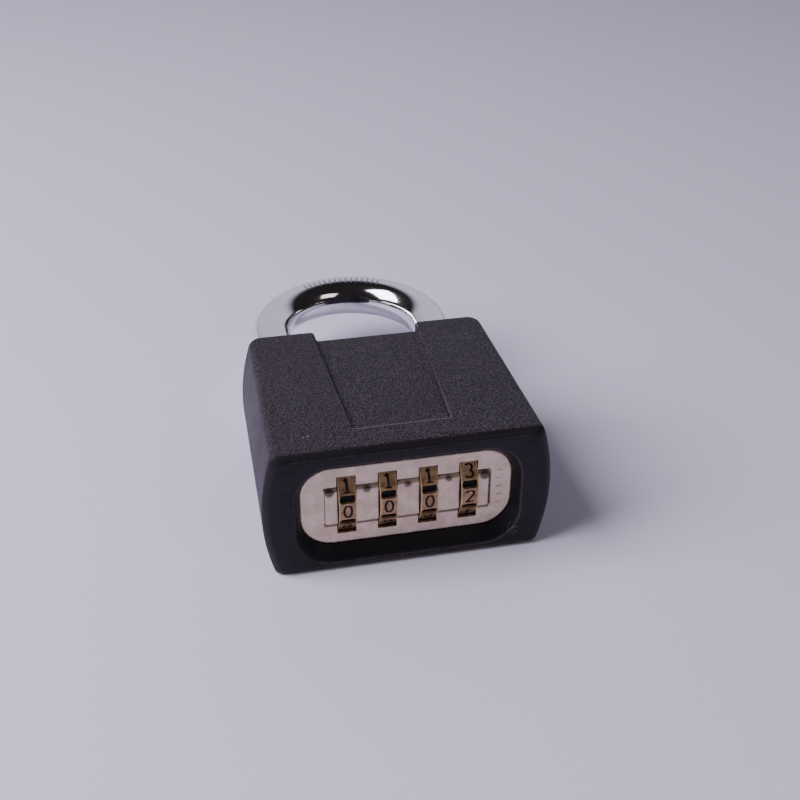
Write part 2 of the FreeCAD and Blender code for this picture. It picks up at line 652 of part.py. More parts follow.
def make_locking_bar():
    """Sliding fence: a crossbar with four fingers, and a stem that ends in a wedge."""
    body = new_body("locking_bar")
    plan = add_sketch(body, "bar_outline", "XY_Plane", "%s - dims.bar_depth / 2" % MID)
    low = "dims.bar_low - dims.body_length"
    top = "dims.bar_low + dims.bar_gauge - dims.body_length"
    step = "dims.wedge_step - dims.body_length"
    middle = "dims.shackle_shift"
    slope = "dims.bolt_inset - dims.body_length - (dims.wedge_half_width - dims.bolt_inner)"
    peak = "dims.bolt_inset - dims.body_length + dims.bolt_inner - dims.wedge_tip_half_width"
    outline(plan, [
        ("-dims.bar_left", low),
        ("dims.bar_right", low),
        ("dims.bar_right", top),
        ("%s + dims.stem_half_width" % middle, top),
        ("%s + dims.stem_half_width" % middle, step),
        ("%s + dims.wedge_half_width" % middle, step),
        ("%s + dims.wedge_half_width" % middle, slope),
        ("%s + dims.wedge_tip_half_width" % middle, peak),
        ("%s - dims.wedge_tip_half_width" % middle, peak),
        ("%s - dims.wedge_half_width" % middle, slope),
        ("%s - dims.wedge_half_width" % middle, step),
        ("%s - dims.stem_half_width" % middle, step),
        ("%s - dims.stem_half_width" % middle, top),
        ("-dims.bar_left", top),
    ])
    extrude(body, "Pad", "bar_plate", plan, "dims.bar_depth")
    finger_x = FIRST_DIAL_X + " - dims.dial_width / 2 - dims.side_gap - dims.flange_width / 2"
    finger = add_sketch(body, "finger_outline", "XY_Plane", "%s - dims.finger_depth / 2" % MID)
    rectangle(finger, "%s - dims.finger_width / 2" % finger_x, "%s + dims.finger_width / 2" % finger_x,
              "%s - dims.finger_length" % low, "%s + dims.root_depth" % low)
    tooth = extrude(body, "Pad", "finger", finger, "dims.finger_depth")
    pattern(body, "fingers", tooth, len(DIAL_STEPS), "3 * dims.dial_pitch")
    return body


def make_locking_bolt(side, turn):
    """Round bolt with a domed nose for the shackle's notch and a 45 degree heel on the wedge."""
    body = new_body("locking_bolt_" + side)
    rod = add_sketch(body, side + "_bolt_outline", "YZ_Plane", "dims.bolt_inner - dims.bolt_radius")
    circle(rod, "0", "0", "dims.bolt_radius")
    pad = extrude(body, "Pad", side + "_bolt_rod", rod,
                  "dims.bolt_outer - dims.bolt_inner + dims.bolt_radius")

    def nose(box):
        return box.XMin > value_of("bolt_outer") - 0.01

    rim = edges_where(pad, nose)
    dress(body, "Fillet", side + "_bolt_nose", pad, rim, "dims.bolt_nose_round")
    slope = add_sketch(body, side + "_bolt_slope_outline", "XY_Plane", "dims.bolt_radius + dims.overcut")
    start = "dims.bolt_inner + dims.running_gap"
    reach = "(dims.bolt_radius + dims.overcut)"
    outline(slope, [
        ("%s + %s" % (start, reach), "-" + reach),
        ("%s - %s" % (start, reach), reach),
        ("%s - %s - 2 * dims.overcut" % (start, reach), "-" + reach),
    ])
    body.Tip = extrude(body, "Pocket", side + "_bolt_slope", slope, "2 * (dims.bolt_radius + dims.overcut)")
    body.Placement.Rotation = FreeCAD.Rotation(FreeCAD.Vector(0, 1, 0), turn)
    return bind(body, Placement__Base__x="dims.shackle_shift", Placement__Base__y=BOLT_Y,
                Placement__Base__z=MID)


def make_shackle():
    """Hardened steel shackle: short toe leg, long heel leg with its neck, flat and spring hole."""
    body = new_body("shackle")
    path = add_sketch(body, "shackle_path", "XY_Plane", MID)
    half = value_of("shackle_half_pitch")
    toe_x = value_of("shackle_shift") - half
    heel_x = value_of("shackle_shift") + half
    crown = value_of("crown_centre")
    toe_end = FreeCAD.Vector(toe_x, -value_of("toe_sink"), 0)
    toe_top = FreeCAD.Vector(toe_x, crown, 0)
    heel_top = FreeCAD.Vector(heel_x, crown, 0)
    heel_end = FreeCAD.Vector(heel_x, -value_of("heel_sink"), 0)
    peak = FreeCAD.Vector(value_of("shackle_shift"), crown + half, 0)
    path.addGeometry(Part.LineSegment(toe_end, toe_top), False)
    path.addGeometry(Part.Arc(toe_top, peak, heel_top), False)
    path.addGeometry(Part.LineSegment(heel_top, heel_end), False)
    arc_toe_end = 1 if path.getPoint(1, 1).x < value_of("shackle_shift") else 2
    path.addConstraint(Sketcher.Constraint("Coincident", 0, 2, 1, arc_toe_end))
    path.addConstraint(Sketcher.Constraint("Coincident", 2, 1, 1, 3 - arc_toe_end))
    pin_point(path, 0, 1, TOE_X, "-dims.toe_sink")
    pin_point(path, 0, 2, TOE_X, "dims.crown_centre")
    pin_point(path, 2, 1, HEEL_X, "dims.crown_centre")
    pin_point(path, 2, 2, HEEL_X, "-dims.heel_sink")
    level = path.addConstraint(Sketcher.Constraint("DistanceY", -1, 1, 1, 3, crown))
    path.setExpression("Constraints[%d]" % level, "dims.crown_centre")
    section = add_sketch(body, "shackle_section", "XZ_Plane", "dims.toe_sink")
    circle(section, TOE_X, MID, "dims.shackle_radius")
    rod = body.newObject("PartDesign::AdditivePipe", "bent_rod")
    rod.Profile = section
    rod.Spine = path

    def leg_end(box):
        return box.YLength < 0.01 and box.YMax < -value_of("toe_sink") + 0.01

    ends = edges_where(rod, leg_end)
    dress(body, "Chamfer", "leg_ends", rod, ends, "dims.leg_chamfer")

    notches = add_sketch(body, "notch_outline", "XY_Plane", "dims.body_depth")
    low = "%s - dims.notch_half_width" % BOLT_Y
    high = "%s + dims.notch_half_width" % BOLT_Y
    rectangle(notches, "%s + dims.shackle_radius - dims.notch_sink" % TOE_X,
              "%s + dims.shackle_radius + dims.overcut" % TOE_X, low, high)
    rectangle(notches, "%s - dims.shackle_radius - dims.overcut" % HEEL_X,
              "%s - dims.shackle_radius + dims.notch_sink" % HEEL_X, low, high)
    extrude(body, "Pocket", "notches", notches, "dims.body_depth")

    flat = add_sketch(body, "heel_flat_outline", "XY_Plane", "%s - dims.neck_radius" % MID)
    rectangle(flat, "%s - dims.shackle_radius - dims.overcut" % HEEL_X,
              "%s + dims.shackle_radius + dims.overcut" % HEEL_X,
              "-dims.heel_sink + dims.heel_land", "-dims.heel_sink + dims.heel_land + dims.flat_length")
    extrude(body, "Pocket", "heel_flat", flat, "dims.shackle_radius")

    neck = add_sketch(body, "heel_neck_outline", "XZ_Plane",
                      "dims.heel_sink - dims.heel_land - dims.neck_length")
    circle(neck, HEEL_X, MID, "dims.shackle_radius + dims.overcut")
    circle(neck, HEEL_X, MID, "dims.neck_radius")
    extrude(body, "Pocket", "heel_neck", neck, "dims.neck_length", reverse=True)

    hole = add_sketch(body, "spring_hole_outline", "XZ_Plane", "dims.heel_sink")
    circle(hole, HEEL_X, MID, "dims.spring_hole_radius")
    body.Tip = extrude(body, "Pocket", "spring_hole", hole, "dims.spring_hole_sink")
    return body


def make_pin(label, radius, length, at_x, at_y, at_z, turn_axis):
    """Plain cylindrical pin laid along X or Y."""
    pin = keep(doc.addObject("Part::Cylinder", label), label)
    along = {"x": FreeCAD.Vector(0, 1, 0), "y": FreeCAD.Vector(-1, 0, 0)}[turn_axis]
    pin.Placement.Rotation = FreeCAD.Rotation(along, 90)
    bind(pin, Radius=radius, Height=length)
    return bind(pin, Placement__Base__x=at_x, Placement__Base__y=at_y, Placement__Base__z=at_z)


def make_coil_spring(label, wire, radius, length, turns, rotation, at_x, at_y, at_z):
    """Compression spring wound round the body's Z axis, then laid where it works."""
    body = new_body(label)
    section = add_sketch(body, label + "_wire_section", "XZ_Plane")
    circle(section, radius, "%s / 2" % wire, "%s / 2" % wire)
    coil = body.newObject("PartDesign::AdditiveHelix", label + "_coil")
    coil.Profile = section
    axis = next(item for item in body.Origin.OriginFeatures if item.Role == "Z_Axis")
    coil.ReferenceAxis = (axis, [""])
    coil.Mode = "height-turns-angle"
    coil.Turns = value_of(turns)
    coil.setExpression("Height", "%s - %s" % (length, wire))
    body.Placement.Rotation = rotation
    return bind(body, Placement__Base__x=at_x, Placement__Base__y=at_y, Placement__Base__z=at_z)


def make_click_spring():
    """Leaf spring behind the dials: a strip with one rounded click finger for each dial."""
    angle = math.radians(value_of("leaf_bump_angle"))
    ride = "(dims.dial_radius + dims.leaf_bump_radius + dims.side_gap)"
    bump_y = "%s + %s * %.6f" % (SPINDLE_Y, ride, math.cos(angle))
    bump_z = "%s - %s * %.6f" % (MID, ride, math.sin(angle))
    leaf_y = "dims.carrier_reach - dims.body_length + dims.running_gap"
    floor_z = "%s - dims.chamber_half_height + dims.side_gap" % MID
    strip = doc.addObject("Part::Box", "click_strip")
    bind(strip, Length="2 * dims.ear_inner", Width="dims.leaf_gauge", Height="dims.leaf_strip_height")
    bind(strip, Placement__Base__x="-dims.ear_inner", Placement__Base__y=leaf_y, Placement__Base__z=floor_z)
    pieces = [strip]
    for number, step in enumerate(DIAL_STEPS, start=1):
        finger = doc.addObject("Part::Box", "click_finger_%d" % number)
        left = "(%s) * dims.dial_pitch - dims.leaf_finger_width / 2" % step
        bind(finger, Length="dims.leaf_finger_width", Width="dims.leaf_gauge",
             Height="%s - (%s)" % (bump_z, floor_z))
        bind(finger, Placement__Base__x=left, Placement__Base__y=leaf_y, Placement__Base__z=floor_z)
        bump = doc.addObject("Part::Cylinder", "click_bump_%d" % number)
        bump.Placement.Rotation = FreeCAD.Rotation(FreeCAD.Vector(0, 1, 0), 90)
        bind(bump, Radius="dims.leaf_bump_radius", Height="dims.leaf_finger_width")
        bind(bump, Placement__Base__x=left, Placement__Base__y=bump_y, Placement__Base__z=bump_z)
        pieces += [finger, bump]
    spring = doc.addObject("Part::MultiFuse", "click_spring")
    spring.Shapes = pieces
    return keep(spring, "click_spring")


make_body_shell()
make_dial_plate()
make_dial_carrier()
make_spindle()
make_spindle_clips()
for dial_number, dial_step in enumerate(DIAL_STEPS, start=1):
    make_dial(dial_number, dial_step)
    make_tumbler(dial_number, dial_step)
make_click_spring()
make_locking_bar()
make_locking_bolt("left", 180)
make_locking_bolt("right", 0)
make_shackle()

TO_Y = FreeCAD.Rotation(FreeCAD.Vector(-1, 0, 0), 90)
TO_X = FreeCAD.Rotation(FreeCAD.Vector(0, 1, 0), 90)
make_pin("shackle_stop_pin", "dims.stop_pin_radius", "dims.stop_pin_outer - dims.stop_pin_inner",
         "dims.stop_pin_inner", STOP_PIN_Y, STOP_PIN_Z, "x")
for pin_side, pin_sign in (("left", "-"), ("right", "")):
    make_pin("end_pin_" + pin_side, "dims.end_pin_radius", "dims.end_pin_length",
             pin_sign + "dims.end_pin_spread", DIAL_END, "dims.end_pin_rise", "y")
make_coil_spring("shackle_spring", "dims.shackle_spring_wire", "dims.shackle_spring_radius",
                 "dims.heel_bore_floor + dims.spring_hole_sink", "shackle_spring_turns", TO_Y,
                 HEEL_X, "-dims.heel_sink - dims.heel_bore_floor", MID)
for spring_side, gap_number in (("left", 0), ("right", 2)):
    gap_x = ("(%d - 1.5) * dims.dial_pitch + dims.dial_width / 2 + dims.side_gap + (dims.dial_pitch"
             " - dims.dial_width - dims.flange_width - 3 * dims.side_gap) / 2") % gap_number
    make_coil_spring("bar_spring_" + spring_side, "dims.bar_spring_wire", "dims.bar_spring_radius",
                     "dims.bar_low - dims.carrier_reach", "bar_spring_turns", TO_Y,
                     gap_x, "dims.carrier_reach - dims.body_length", MID)
make_coil_spring("stack_spring", "dims.stack_spring_wire", "dims.stack_spring_radius",
                 "dims.ear_inner - 1.5 * dims.dial_pitch - dims.dial_width / 2 + dims.side_gap"
                 " - 2 * dims.close_fit", "stack_spring_turns", TO_X,
                 "1.5 * dims.dial_pitch + dims.dial_width / 2 - dims.side_gap + dims.close_fit",
                 SPINDLE_Y, MID)

doc.recompute()
faults = [item.Label for item in doc.Objects if "Invalid" in item.State or "Error" in item.State]
if faults:
    raise RuntimeError("failed objects: " + ", ".join(faults))
os.makedirs("parts", exist_ok=True)
for item in SUB_PARTS:
    if item.Shape.isNull() or not item.Shape.isValid():
        raise RuntimeError("bad shape: " + item.Label)
    print("%-20s %2d solid  %9.2f mm3" % (item.Label, len(item.Shape.Solids), item.Shape.Volume))
    item.Shape.exportStep("parts/%s.step" % item.Label)
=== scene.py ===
import math

import bmesh
import bpy
import numpy as np
from mathutils import Matrix, Vector


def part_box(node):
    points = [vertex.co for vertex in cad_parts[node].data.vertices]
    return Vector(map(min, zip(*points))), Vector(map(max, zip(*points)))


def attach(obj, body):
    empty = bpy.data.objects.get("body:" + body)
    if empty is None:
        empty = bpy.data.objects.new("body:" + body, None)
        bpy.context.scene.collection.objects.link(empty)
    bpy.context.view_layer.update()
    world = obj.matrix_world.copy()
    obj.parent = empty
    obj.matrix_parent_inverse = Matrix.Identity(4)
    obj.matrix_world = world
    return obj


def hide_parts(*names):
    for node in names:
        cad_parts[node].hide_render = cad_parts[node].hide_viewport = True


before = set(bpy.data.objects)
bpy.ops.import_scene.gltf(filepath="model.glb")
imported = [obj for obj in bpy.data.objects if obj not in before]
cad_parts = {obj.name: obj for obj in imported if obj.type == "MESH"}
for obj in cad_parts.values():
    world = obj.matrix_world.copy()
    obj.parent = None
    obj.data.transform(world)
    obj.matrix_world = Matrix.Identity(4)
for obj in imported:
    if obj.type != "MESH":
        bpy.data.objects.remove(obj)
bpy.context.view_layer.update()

# ---- Body shell ------------------------------------------------------------------------------
# The padlock's case is one zinc die casting: a tapered block with bowed sides, two shoulders
# that the shackle drops into and a sunk panel on its front. It is powder coated black all over,
# with a pebbled skin on the cast faces and a smoother one on the machined dial end.
MM = 0.001
case_low, case_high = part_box("body_shell")
DEPTH = (case_high[2] - case_low[2]) / MM
DIAL_END = case_low[1] / MM
MIDDLE = DEPTH / 2
BOW = 2.0
BOW_FADE = 8.95
WIDTH_END = 23.0
WIDTH_TOP = 21.9
CORNER = 2.0
GAP_HALF = 9.67
GAP_DROP = 2.35
GAP_HOLLOW = 0.4
GAP_CREST = 0.8
PANEL_HALF = 8.34
PANEL_SINK = 0.65
PANEL_FOOT = DIAL_END + 6.44
BEVEL = 1.1
SIDE_ROUND = 0.9
TOP_ROUND = 0.45
shackle_low, shackle_high = (np.array(end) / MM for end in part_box("shackle"))
ROD = (shackle_high[2] - shackle_low[2]) / 2
TOE_X = shackle_low[0] + ROD
HEEL_X = shackle_high[0] - ROD
# each shackle bore starts as a square patch left open in the shoulder's flat
FLAT_START = 11.0
FLAT_STOP = 19.85
PATCH_HALF = 4.45
BORE_RADIUS = 4.1
TOE_BORE_END = -14.4
HEEL_BORE_END = -22.0
# rounded rectangles of the dial end: half width, half height and corner radius
MOUTH = (19.5, 9.935, 6.4)
SEAT = (18.45, 8.0, 5.75)
CHAMBER = (15.6, 7.85, 0.3)
MOUTH_RISE = 11.665
LIP_WIDTH = 0.5
LIP_DEEP = 0.24
FUNNEL_DEEP = 2.0
SEAT_DEEP = 2.75
CHAMBER_DEEP = 16.4


def arc_points(centre, radius, start, stop, count):
    """Points at equal angles on a circle: centre plus radius times (cos, sin)."""
    angle = np.radians(np.linspace(start, stop, count))
    return np.stack([centre[0] + radius * np.cos(angle), centre[1] + radius * np.sin(angle)], 1)


def shoulder_line():
    """Right half of the top's plan outline, from the middle of the gap to the outer corner.

    Returns its points, their outward normals, the matching place along the straight dial end,
    and how far down the sunk panel each point lies (1 in the panel, 0 on the shoulder)."""
    corner = WIDTH_TOP + CORNER * (WIDTH_END - WIDTH_TOP) / -DIAL_END
    floor_x = np.linspace(0, GAP_HALF - GAP_HOLLOW, 22)
    floor = np.stack([floor_x, np.full(22, -GAP_DROP)], 1)
    hollow = arc_points((GAP_HALF - GAP_HOLLOW, GAP_HOLLOW - GAP_DROP), GAP_HOLLOW, -90, 0, 7)[1:]
    rise_y = np.linspace(GAP_HOLLOW - GAP_DROP, -GAP_CREST, 5)[1:4]
    rise = np.stack([np.full(3, GAP_HALF), rise_y], 1)
    crest = arc_points((GAP_HALF + GAP_CREST, -GAP_CREST), GAP_CREST, 180, 90, 8)
    flat = np.stack([np.linspace(FLAT_START, FLAT_STOP, 24), np.zeros(24)], 1)
    outer = arc_points((corner - CORNER, -CORNER), CORNER, 90, 0, 11)
    points = np.concatenate([floor, hollow, rise, crest, flat, outer])
    turn = np.concatenate([
        np.full(22, 90.0), np.linspace(90, 180, 7)[1:], np.full(3, 180.0),
        np.linspace(180, 90, 8), np.full(24, 90.0), np.linspace(90, 0, 11),
    ])
    normals = np.stack([np.cos(np.radians(turn)), np.sin(np.radians(turn))], 1)
    foot = np.concatenate([
        np.linspace(0, PANEL_HALF - 0.12, 22), np.linspace(PANEL_HALF - 0.12, PANEL_HALF, 7)[1:],
        np.linspace(PANEL_HALF, PANEL_HALF + 0.12, 12)[1:],
        np.linspace(PANEL_HALF + 0.12, WIDTH_END - SIDE_ROUND, 36)[1:],
    ])
    sunk = np.concatenate([np.ones(22), np.linspace(1, 0, 7)[1:], np.zeros(len(points) - 28)])
    return points, normals, foot, sunk


def bowed(x, z):
    """Pushes x outwards by the side's bow, which is a parabola in z and fades out on the top."""
    bow = BOW * (1 - ((z - MIDDLE) / MIDDLE) ** 2)
    return x + np.sign(x) * bow * np.clip((np.abs(x) - FLAT_START) / BOW_FADE, 0, 1)


def levels():
    """How the casting's edge runs from its front to its back.

    Returns a quarter circle as two shares of the edge radius, inwards and down, and then the
    heights of the straight wall between the edges, with rows where the bores need them."""
    quarter = np.radians(np.linspace(0, 90, 7))
    share_in = 1 - np.sin(quarter)
    share_down = 1 - np.cos(quarter)
    margin = 1.4
    wall = np.concatenate([np.linspace(margin, MIDDLE - PATCH_HALF, 6)[:-1],
                           np.linspace(MIDDLE - PATCH_HALF, MIDDLE + PATCH_HALF, 13),
                           np.linspace(MIDDLE + PATCH_HALF, DEPTH - margin, 6)[1:]])[::-1]
    return share_in, share_down, wall


class Patches:
    """Collects grids of points; each grid becomes a sheet of four-sided faces."""

    def __init__(self):
        self.points = []
        self.faces = []
        self.count = 0

    def add(self, grid, closed=False, skip=None):
        """grid is rows by columns by 3; closed joins the last column to the first."""
        rows, columns = grid.shape[:2]
        index = np.arange(rows * columns).reshape(rows, columns) + self.count
        if closed:
            index = np.concatenate([index, index[:, :1]], 1)
        faces = np.stack([index[:-1, :-1], index[1:, :-1], index[1:, 1:], index[:-1, 1:]], -1)
        if skip is not None:
            faces = faces[~skip]
        self.points.append(grid.reshape(-1, 3))
        self.faces.append(faces.reshape(-1, 4))
        self.count += rows * columns

    def build(self, name, sharp=35.0):
        """One welded mesh object in metres, with its faces turned outwards."""
        weld = 2e-6
        mesh = bpy.data.meshes.new(name)
        points = np.concatenate(self.points) * MM
        mesh.from_pydata(points, [], np.concatenate(self.faces))
        work = bmesh.new()
        work.from_mesh(mesh)
        bmesh.ops.remove_doubles(work, verts=work.verts, dist=weld)
        bmesh.ops.dissolve_degenerate(work, edges=work.edges, dist=weld)
        bmesh.ops.recalc_face_normals(work, faces=work.faces)
        work.to_mesh(mesh)
        work.free()
        mesh.shade_smooth()
        mesh.set_sharp_from_angle(angle=math.radians(sharp))
        piece = bpy.data.objects.new(name, mesh)
        bpy.context.scene.collection.objects.link(piece)
        return piece


def border(grid):
    """A grid's edge points, in order round it."""
    return np.concatenate([grid[0, :-1], grid[:-1, -1], grid[-1, :0:-1], grid[:0:-1, 0]])


def rounded_outline(angle, half_width, half_height, corner):
    """Distance from the middle of a rounded rectangle to its edge along each angle.

    A bisection on the signed distance max(|p| - inner, 0) - corner finds the crossing."""
    direction = np.stack([np.cos(angle), np.sin(angle)], -1)
    inner = np.array([half_width - corner, half_height - corner])
    near = np.zeros_like(angle)
    far = np.full_like(angle, half_width + half_height)
    for _ in range(44):
        reach = (near + far) / 2
        past = np.abs(direction * reach[..., None]) - inner
        gap = np.linalg.norm(np.maximum(past, 0), axis=-1) + np.minimum(past.max(-1), 0) - corner
        near = np.where(gap < 0, reach, near)
        far = np.where(gap < 0, far, reach)
    return direction * near[..., None]


def casting():
    """All the casting's surfaces, as welded grids."""
    patches = Patches()
    half, normal, foot, sunk = shoulder_line()
    mirror = np.array([-1.0, 1.0])
    top = np.concatenate([half[:0:-1] * mirror, half])
    top_normal = np.concatenate([normal[:0:-1] * mirror, normal])
    foot = np.concatenate([-foot[:0:-1], foot])
    sunk = np.concatenate([sunk[:0:-1], sunk])
    share_in, share_down, wall = levels()

    # the shares of the face's length where its rows lie, bunched where the sunk panel starts
    step = 0.0022
    start = DIAL_END + BEVEL
    mark = (PANEL_FOOT - start) / (-GAP_DROP - TOP_ROUND - start)
    bunch = np.linspace(-1, 1, 7) * step
    below = np.linspace(0, mark - 0.01, 4)
    above = np.linspace(mark + 0.012, 1, 22)
    rows = np.concatenate([below, mark + bunch, above])
    deep = np.clip((rows - mark) / (2 * step) + 0.5, 0, 1)

    # edge radius round the plan outline: larger down the sides than over the top
    blend_start = 20.0
    blend_width = 1.9
    side_share = np.clip((np.abs(top[:, 0]) - blend_start) / blend_width, 0, 1)
    radius = TOP_ROUND + (SIDE_ROUND - TOP_ROUND) * side_share
    inset_top = top - top_normal * radius[:, None]
    foot_line = np.stack([foot, np.full(len(foot), start)], 1)
    flat = (1 - rows)[:, None, None] * foot_line + rows[:, None, None] * inset_top
    sink = PANEL_SINK * deep[:, None] * sunk[None, :]
    front = np.concatenate([flat, (DEPTH - sink)[..., None]], -1)
    back = np.concatenate([flat, np.zeros_like(sink)[..., None]], -1)
    patches.add(front)
    patches.add(back[:, ::-1])

    # band round the plan outline: left side up, over the shoulders, right side down
    side_rows = rows[:-1]
    end_left = np.array([-WIDTH_END, start])
    left = (1 - side_rows)[:, None] * end_left + side_rows[:, None] * top[0]
    left_normal = np.tile([-1.0, 0.0], (len(left), 1))
    path = np.concatenate([left, top, left[::-1] * mirror])
    path_normal = np.concatenate([left_normal, top_normal, left_normal * mirror])
    side_radius = np.full(len(left), SIDE_ROUND)
    path_radius = np.concatenate([side_radius, radius, side_radius])
    none = np.zeros(len(left))
    path_sunk = np.concatenate([none, sunk, none]) * PANEL_SINK
    inset = np.concatenate([share_in, np.zeros(len(wall)), share_in[::-1]])
    x = path[:, 0] - path_normal[:, 0] * path_radius * inset[:, None]
    y = path[:, 1] - path_normal[:, 1] * path_radius * inset[:, None]
    front_z = DEPTH - path_sunk - path_radius * share_down[:, None]
    back_z = path_radius * share_down[::-1][:, None]
    wall_z = np.repeat(wall[:, None], len(path), 1)
    z = np.concatenate([front_z, wall_z, back_z + np.zeros(len(path))])
    band = np.stack([bowed(x, z), y, z], -1)
    first_flat = len(left) + int(np.argmin(np.abs(top[:, 0] + FLAT_STOP)))
    last_flat = len(left) + int(np.argmin(np.abs(top[:, 0] + FLAT_START)))
    low_row = len(share_in) + int(np.argmin(np.abs(wall - (MIDDLE + PATCH_HALF))))
    high_row = len(share_in) + int(np.argmin(np.abs(wall - (MIDDLE - PATCH_HALF))))
    end = band.shape[1] - 1
    bores = (
        (first_flat, last_flat, TOE_X, TOE_BORE_END),
        (end - last_flat, end - first_flat, HEEL_X, HEEL_BORE_END),
    )
    skip = np.zeros((band.shape[0] - 1, end), bool)
    for first, last, _, _ in bores:
        skip[low_row:high_row, first:last] = True
    patches.add(band, skip=skip)

    # shackle bores: each square opening closes in to a circle, then runs down into the casting
    for first, last, centre, floor in bores:
        loop = border(band[low_row:high_row + 1, first:last + 1])
        angle = np.arctan2(loop[:, 2] - MIDDLE, loop[:, 0] - centre)
        ring = np.stack([np.cos(angle), np.zeros(len(angle)), np.sin(angle)], 1)
        origin = np.array([centre, 0.0, MIDDLE])
        mouth = origin + ring * (BORE_RADIUS + 0.18)
        share = np.linspace(0, 1, 5)[:, None, None]
        bore_rows = [loop * (1 - share) + mouth * share]
        for reach, level in (
            (BORE_RADIUS + 0.07, -0.05), (BORE_RADIUS, -0.18), (BORE_RADIUS, floor),
            (2.0, floor), (0.0, floor),
        ):
            bore_rows.append((origin + ring * reach + [0, level, 0])[None])
        patches.add(np.concatenate(bore_rows), closed=True)

    # dial end: bevel, machined ring, lip and funnel, plate seat, then the chamber behind it
    loop = np.concatenate([front[0, :-1], band[:-1, -1], back[0, :0:-1], band[:0:-1, 0]])
    flat_loop = loop[:, [0, 2]]
    end_rows = [loop[None]]

    def add_row(outline, level):
        row = np.stack([outline[:, 0], np.full(len(outline), DIAL_END + level), outline[:, 1]], 1)
        end_rows.append(row[None])

    for inward, level in ((0.1, 0.9), (0.34, 0.6), (0.7, 0.26), (0.98, 0.07), (1.25, 0.0)):
        shrink = np.array([1 - inward / WIDTH_END, 1 - inward / MIDDLE])
        add_row((flat_loop - [0, MIDDLE]) * shrink + [0, MIDDLE], level)
    face = end_rows[-1][0][:, [0, 2]]
    mouth_middle = np.array([0, MOUTH_RISE])
    seat_middle = np.array([0, MIDDLE])
    angle = np.arctan2(face[:, 1] - mouth_middle[1], face[:, 0])
    lip = mouth_middle + rounded_outline(angle, *(size + LIP_WIDTH for size in MOUTH))
    add_row((face + lip) / 2, 0.0)
    for out, level in ((LIP_WIDTH, 0.0), (0.28, 0.02), (0.1, 0.1), (0.0, LIP_DEEP)):
        add_row(mouth_middle + rounded_outline(angle, *(size + out for size in MOUTH)), level)
    rim = mouth_middle + rounded_outline(angle, *MOUTH)
    throat = seat_middle + rounded_outline(angle, *SEAT)
    for share in np.linspace(0.12, 1, 8):
        deeper = (FUNNEL_DEEP - LIP_DEEP) * share ** 1.25
        add_row(rim * (1 - share) + throat * share, LIP_DEEP + deeper)
    add_row(throat, SEAT_DEEP)
    chamber = seat_middle + rounded_outline(angle, *CHAMBER)
    add_row(chamber, SEAT_DEEP)
    add_row(chamber, CHAMBER_DEEP)
    add_row(chamber * 0 + seat_middle, CHAMBER_DEEP)
    patches.add(np.concatenate(end_rows), closed=True)
    return patches


class Nodes:
    """Short calls for wiring one material's nodes."""

    def __init__(self, name):
        self.material = bpy.data.materials.new(name)
        self.material.use_nodes = True
        self.tree = self.material.node_tree
        self.shader = self.tree.nodes["Principled BSDF"]
        self.place = self.add("ShaderNodeTexCoord").outputs["Object"]

    def add(self, kind, **settings):
        node = self.tree.nodes.new(kind)
        for key, value in settings.items():
            if hasattr(node, key):
                setattr(node, key, value)
            else:
                node.inputs[key.replace("_", " ")].default_value = value
        return node

    def link(self, source, target):
        self.tree.links.new(source, target)

    def noise(self, size, detail=3.0, rough=0.5, place=None):
        """Noise whose grain is about that many millimetres across."""
        node = self.add("ShaderNodeTexNoise", Scale=1 / (size * MM), Detail=detail, Roughness=rough)
        self.link(place or self.place, node.inputs["Vector"])
        return node.outputs["Fac"]

    def ramp(self, value, low, high, start=0.0, stop=1.0):
        """Maps low to high onto start to stop, smoothly and without going past."""
        node = self.add("ShaderNodeMapRange", interpolation_type="SMOOTHSTEP")
        self.link(value, node.inputs["Value"])
        for key, number in (("From Min", low), ("From Max", high), ("To Min", start), ("To Max", stop)):
            node.inputs[key].default_value = number
        return node.outputs["Result"]

    def band(self, value, rise, fall, share=1.0):
        """share between two soft edges and 0 outside; each edge is (low, high) in millimetres."""
        rising = self.ramp(value, rise[0] * MM, rise[1] * MM)
        falling = self.ramp(value, fall[1] * MM, fall[0] * MM, 0.0, share)
        return self.maths("MULTIPLY", rising, falling)

    def maths(self, operation, first, second):
        node = self.add("ShaderNodeMath", operation=operation)
        for socket, value in zip(node.inputs, (first, second)):
            if isinstance(value, (int, float)):
                socket.default_value = value
            else:
                self.link(value, socket)
        return node.outputs["Value"]

    def size(self, value):
        return self.maths("ABSOLUTE", value, 0.0)

    def mix(self, share, first, second):
        """Colour mix: first where share is 0, second where it is 1."""
        node = self.add("ShaderNodeMix", data_type="RGBA")
        self.link(share, node.inputs["Factor"])
        for socket, value in ((node.inputs["A"], first), (node.inputs["B"], second)):
            if isinstance(value, tuple):
                socket.default_value = (*value, 1.0)
            else:
                self.link(value, socket)
        return node.outputs["Result"]

    def axis(self, letter):
        if not hasattr(self, "split"):
            self.split = self.add("ShaderNodeSeparateXYZ")
            self.link(self.place, self.split.inputs["Vector"])
        return self.split.outputs[letter]

    def reach(self, place):
        """Distance from a place given in millimetres."""
        node = self.add("ShaderNodeVectorMath", operation="DISTANCE")
        self.link(self.place, node.inputs[0])
        node.inputs[1].default_value = [value * MM for value in place]
        return node.outputs["Value"]

    def bump(self, height, depth):
        """Bump of that many millimetres' depth."""
        node = self.add("ShaderNodeBump", Strength=1.0, Distance=depth * MM)
        self.link(height, node.inputs["Height"])
        return node.outputs["Normal"]

    def finish(self, colour=None, rough=None, normal=None, **sockets):
        for key, source in (("Base Color", colour), ("Roughness", rough), ("Normal", normal)):
            if source is not None:
                self.link(source, self.shader.inputs[key])
        for key, value in sockets.items():
            self.shader.inputs[key.replace("_", " ")].default_value = value
        return self.material


# how fast the sunk panel widens towards the shackle
PANEL_SPREAD = (GAP_HALF - PANEL_HALF) / (-GAP_DROP - PANEL_FOOT)
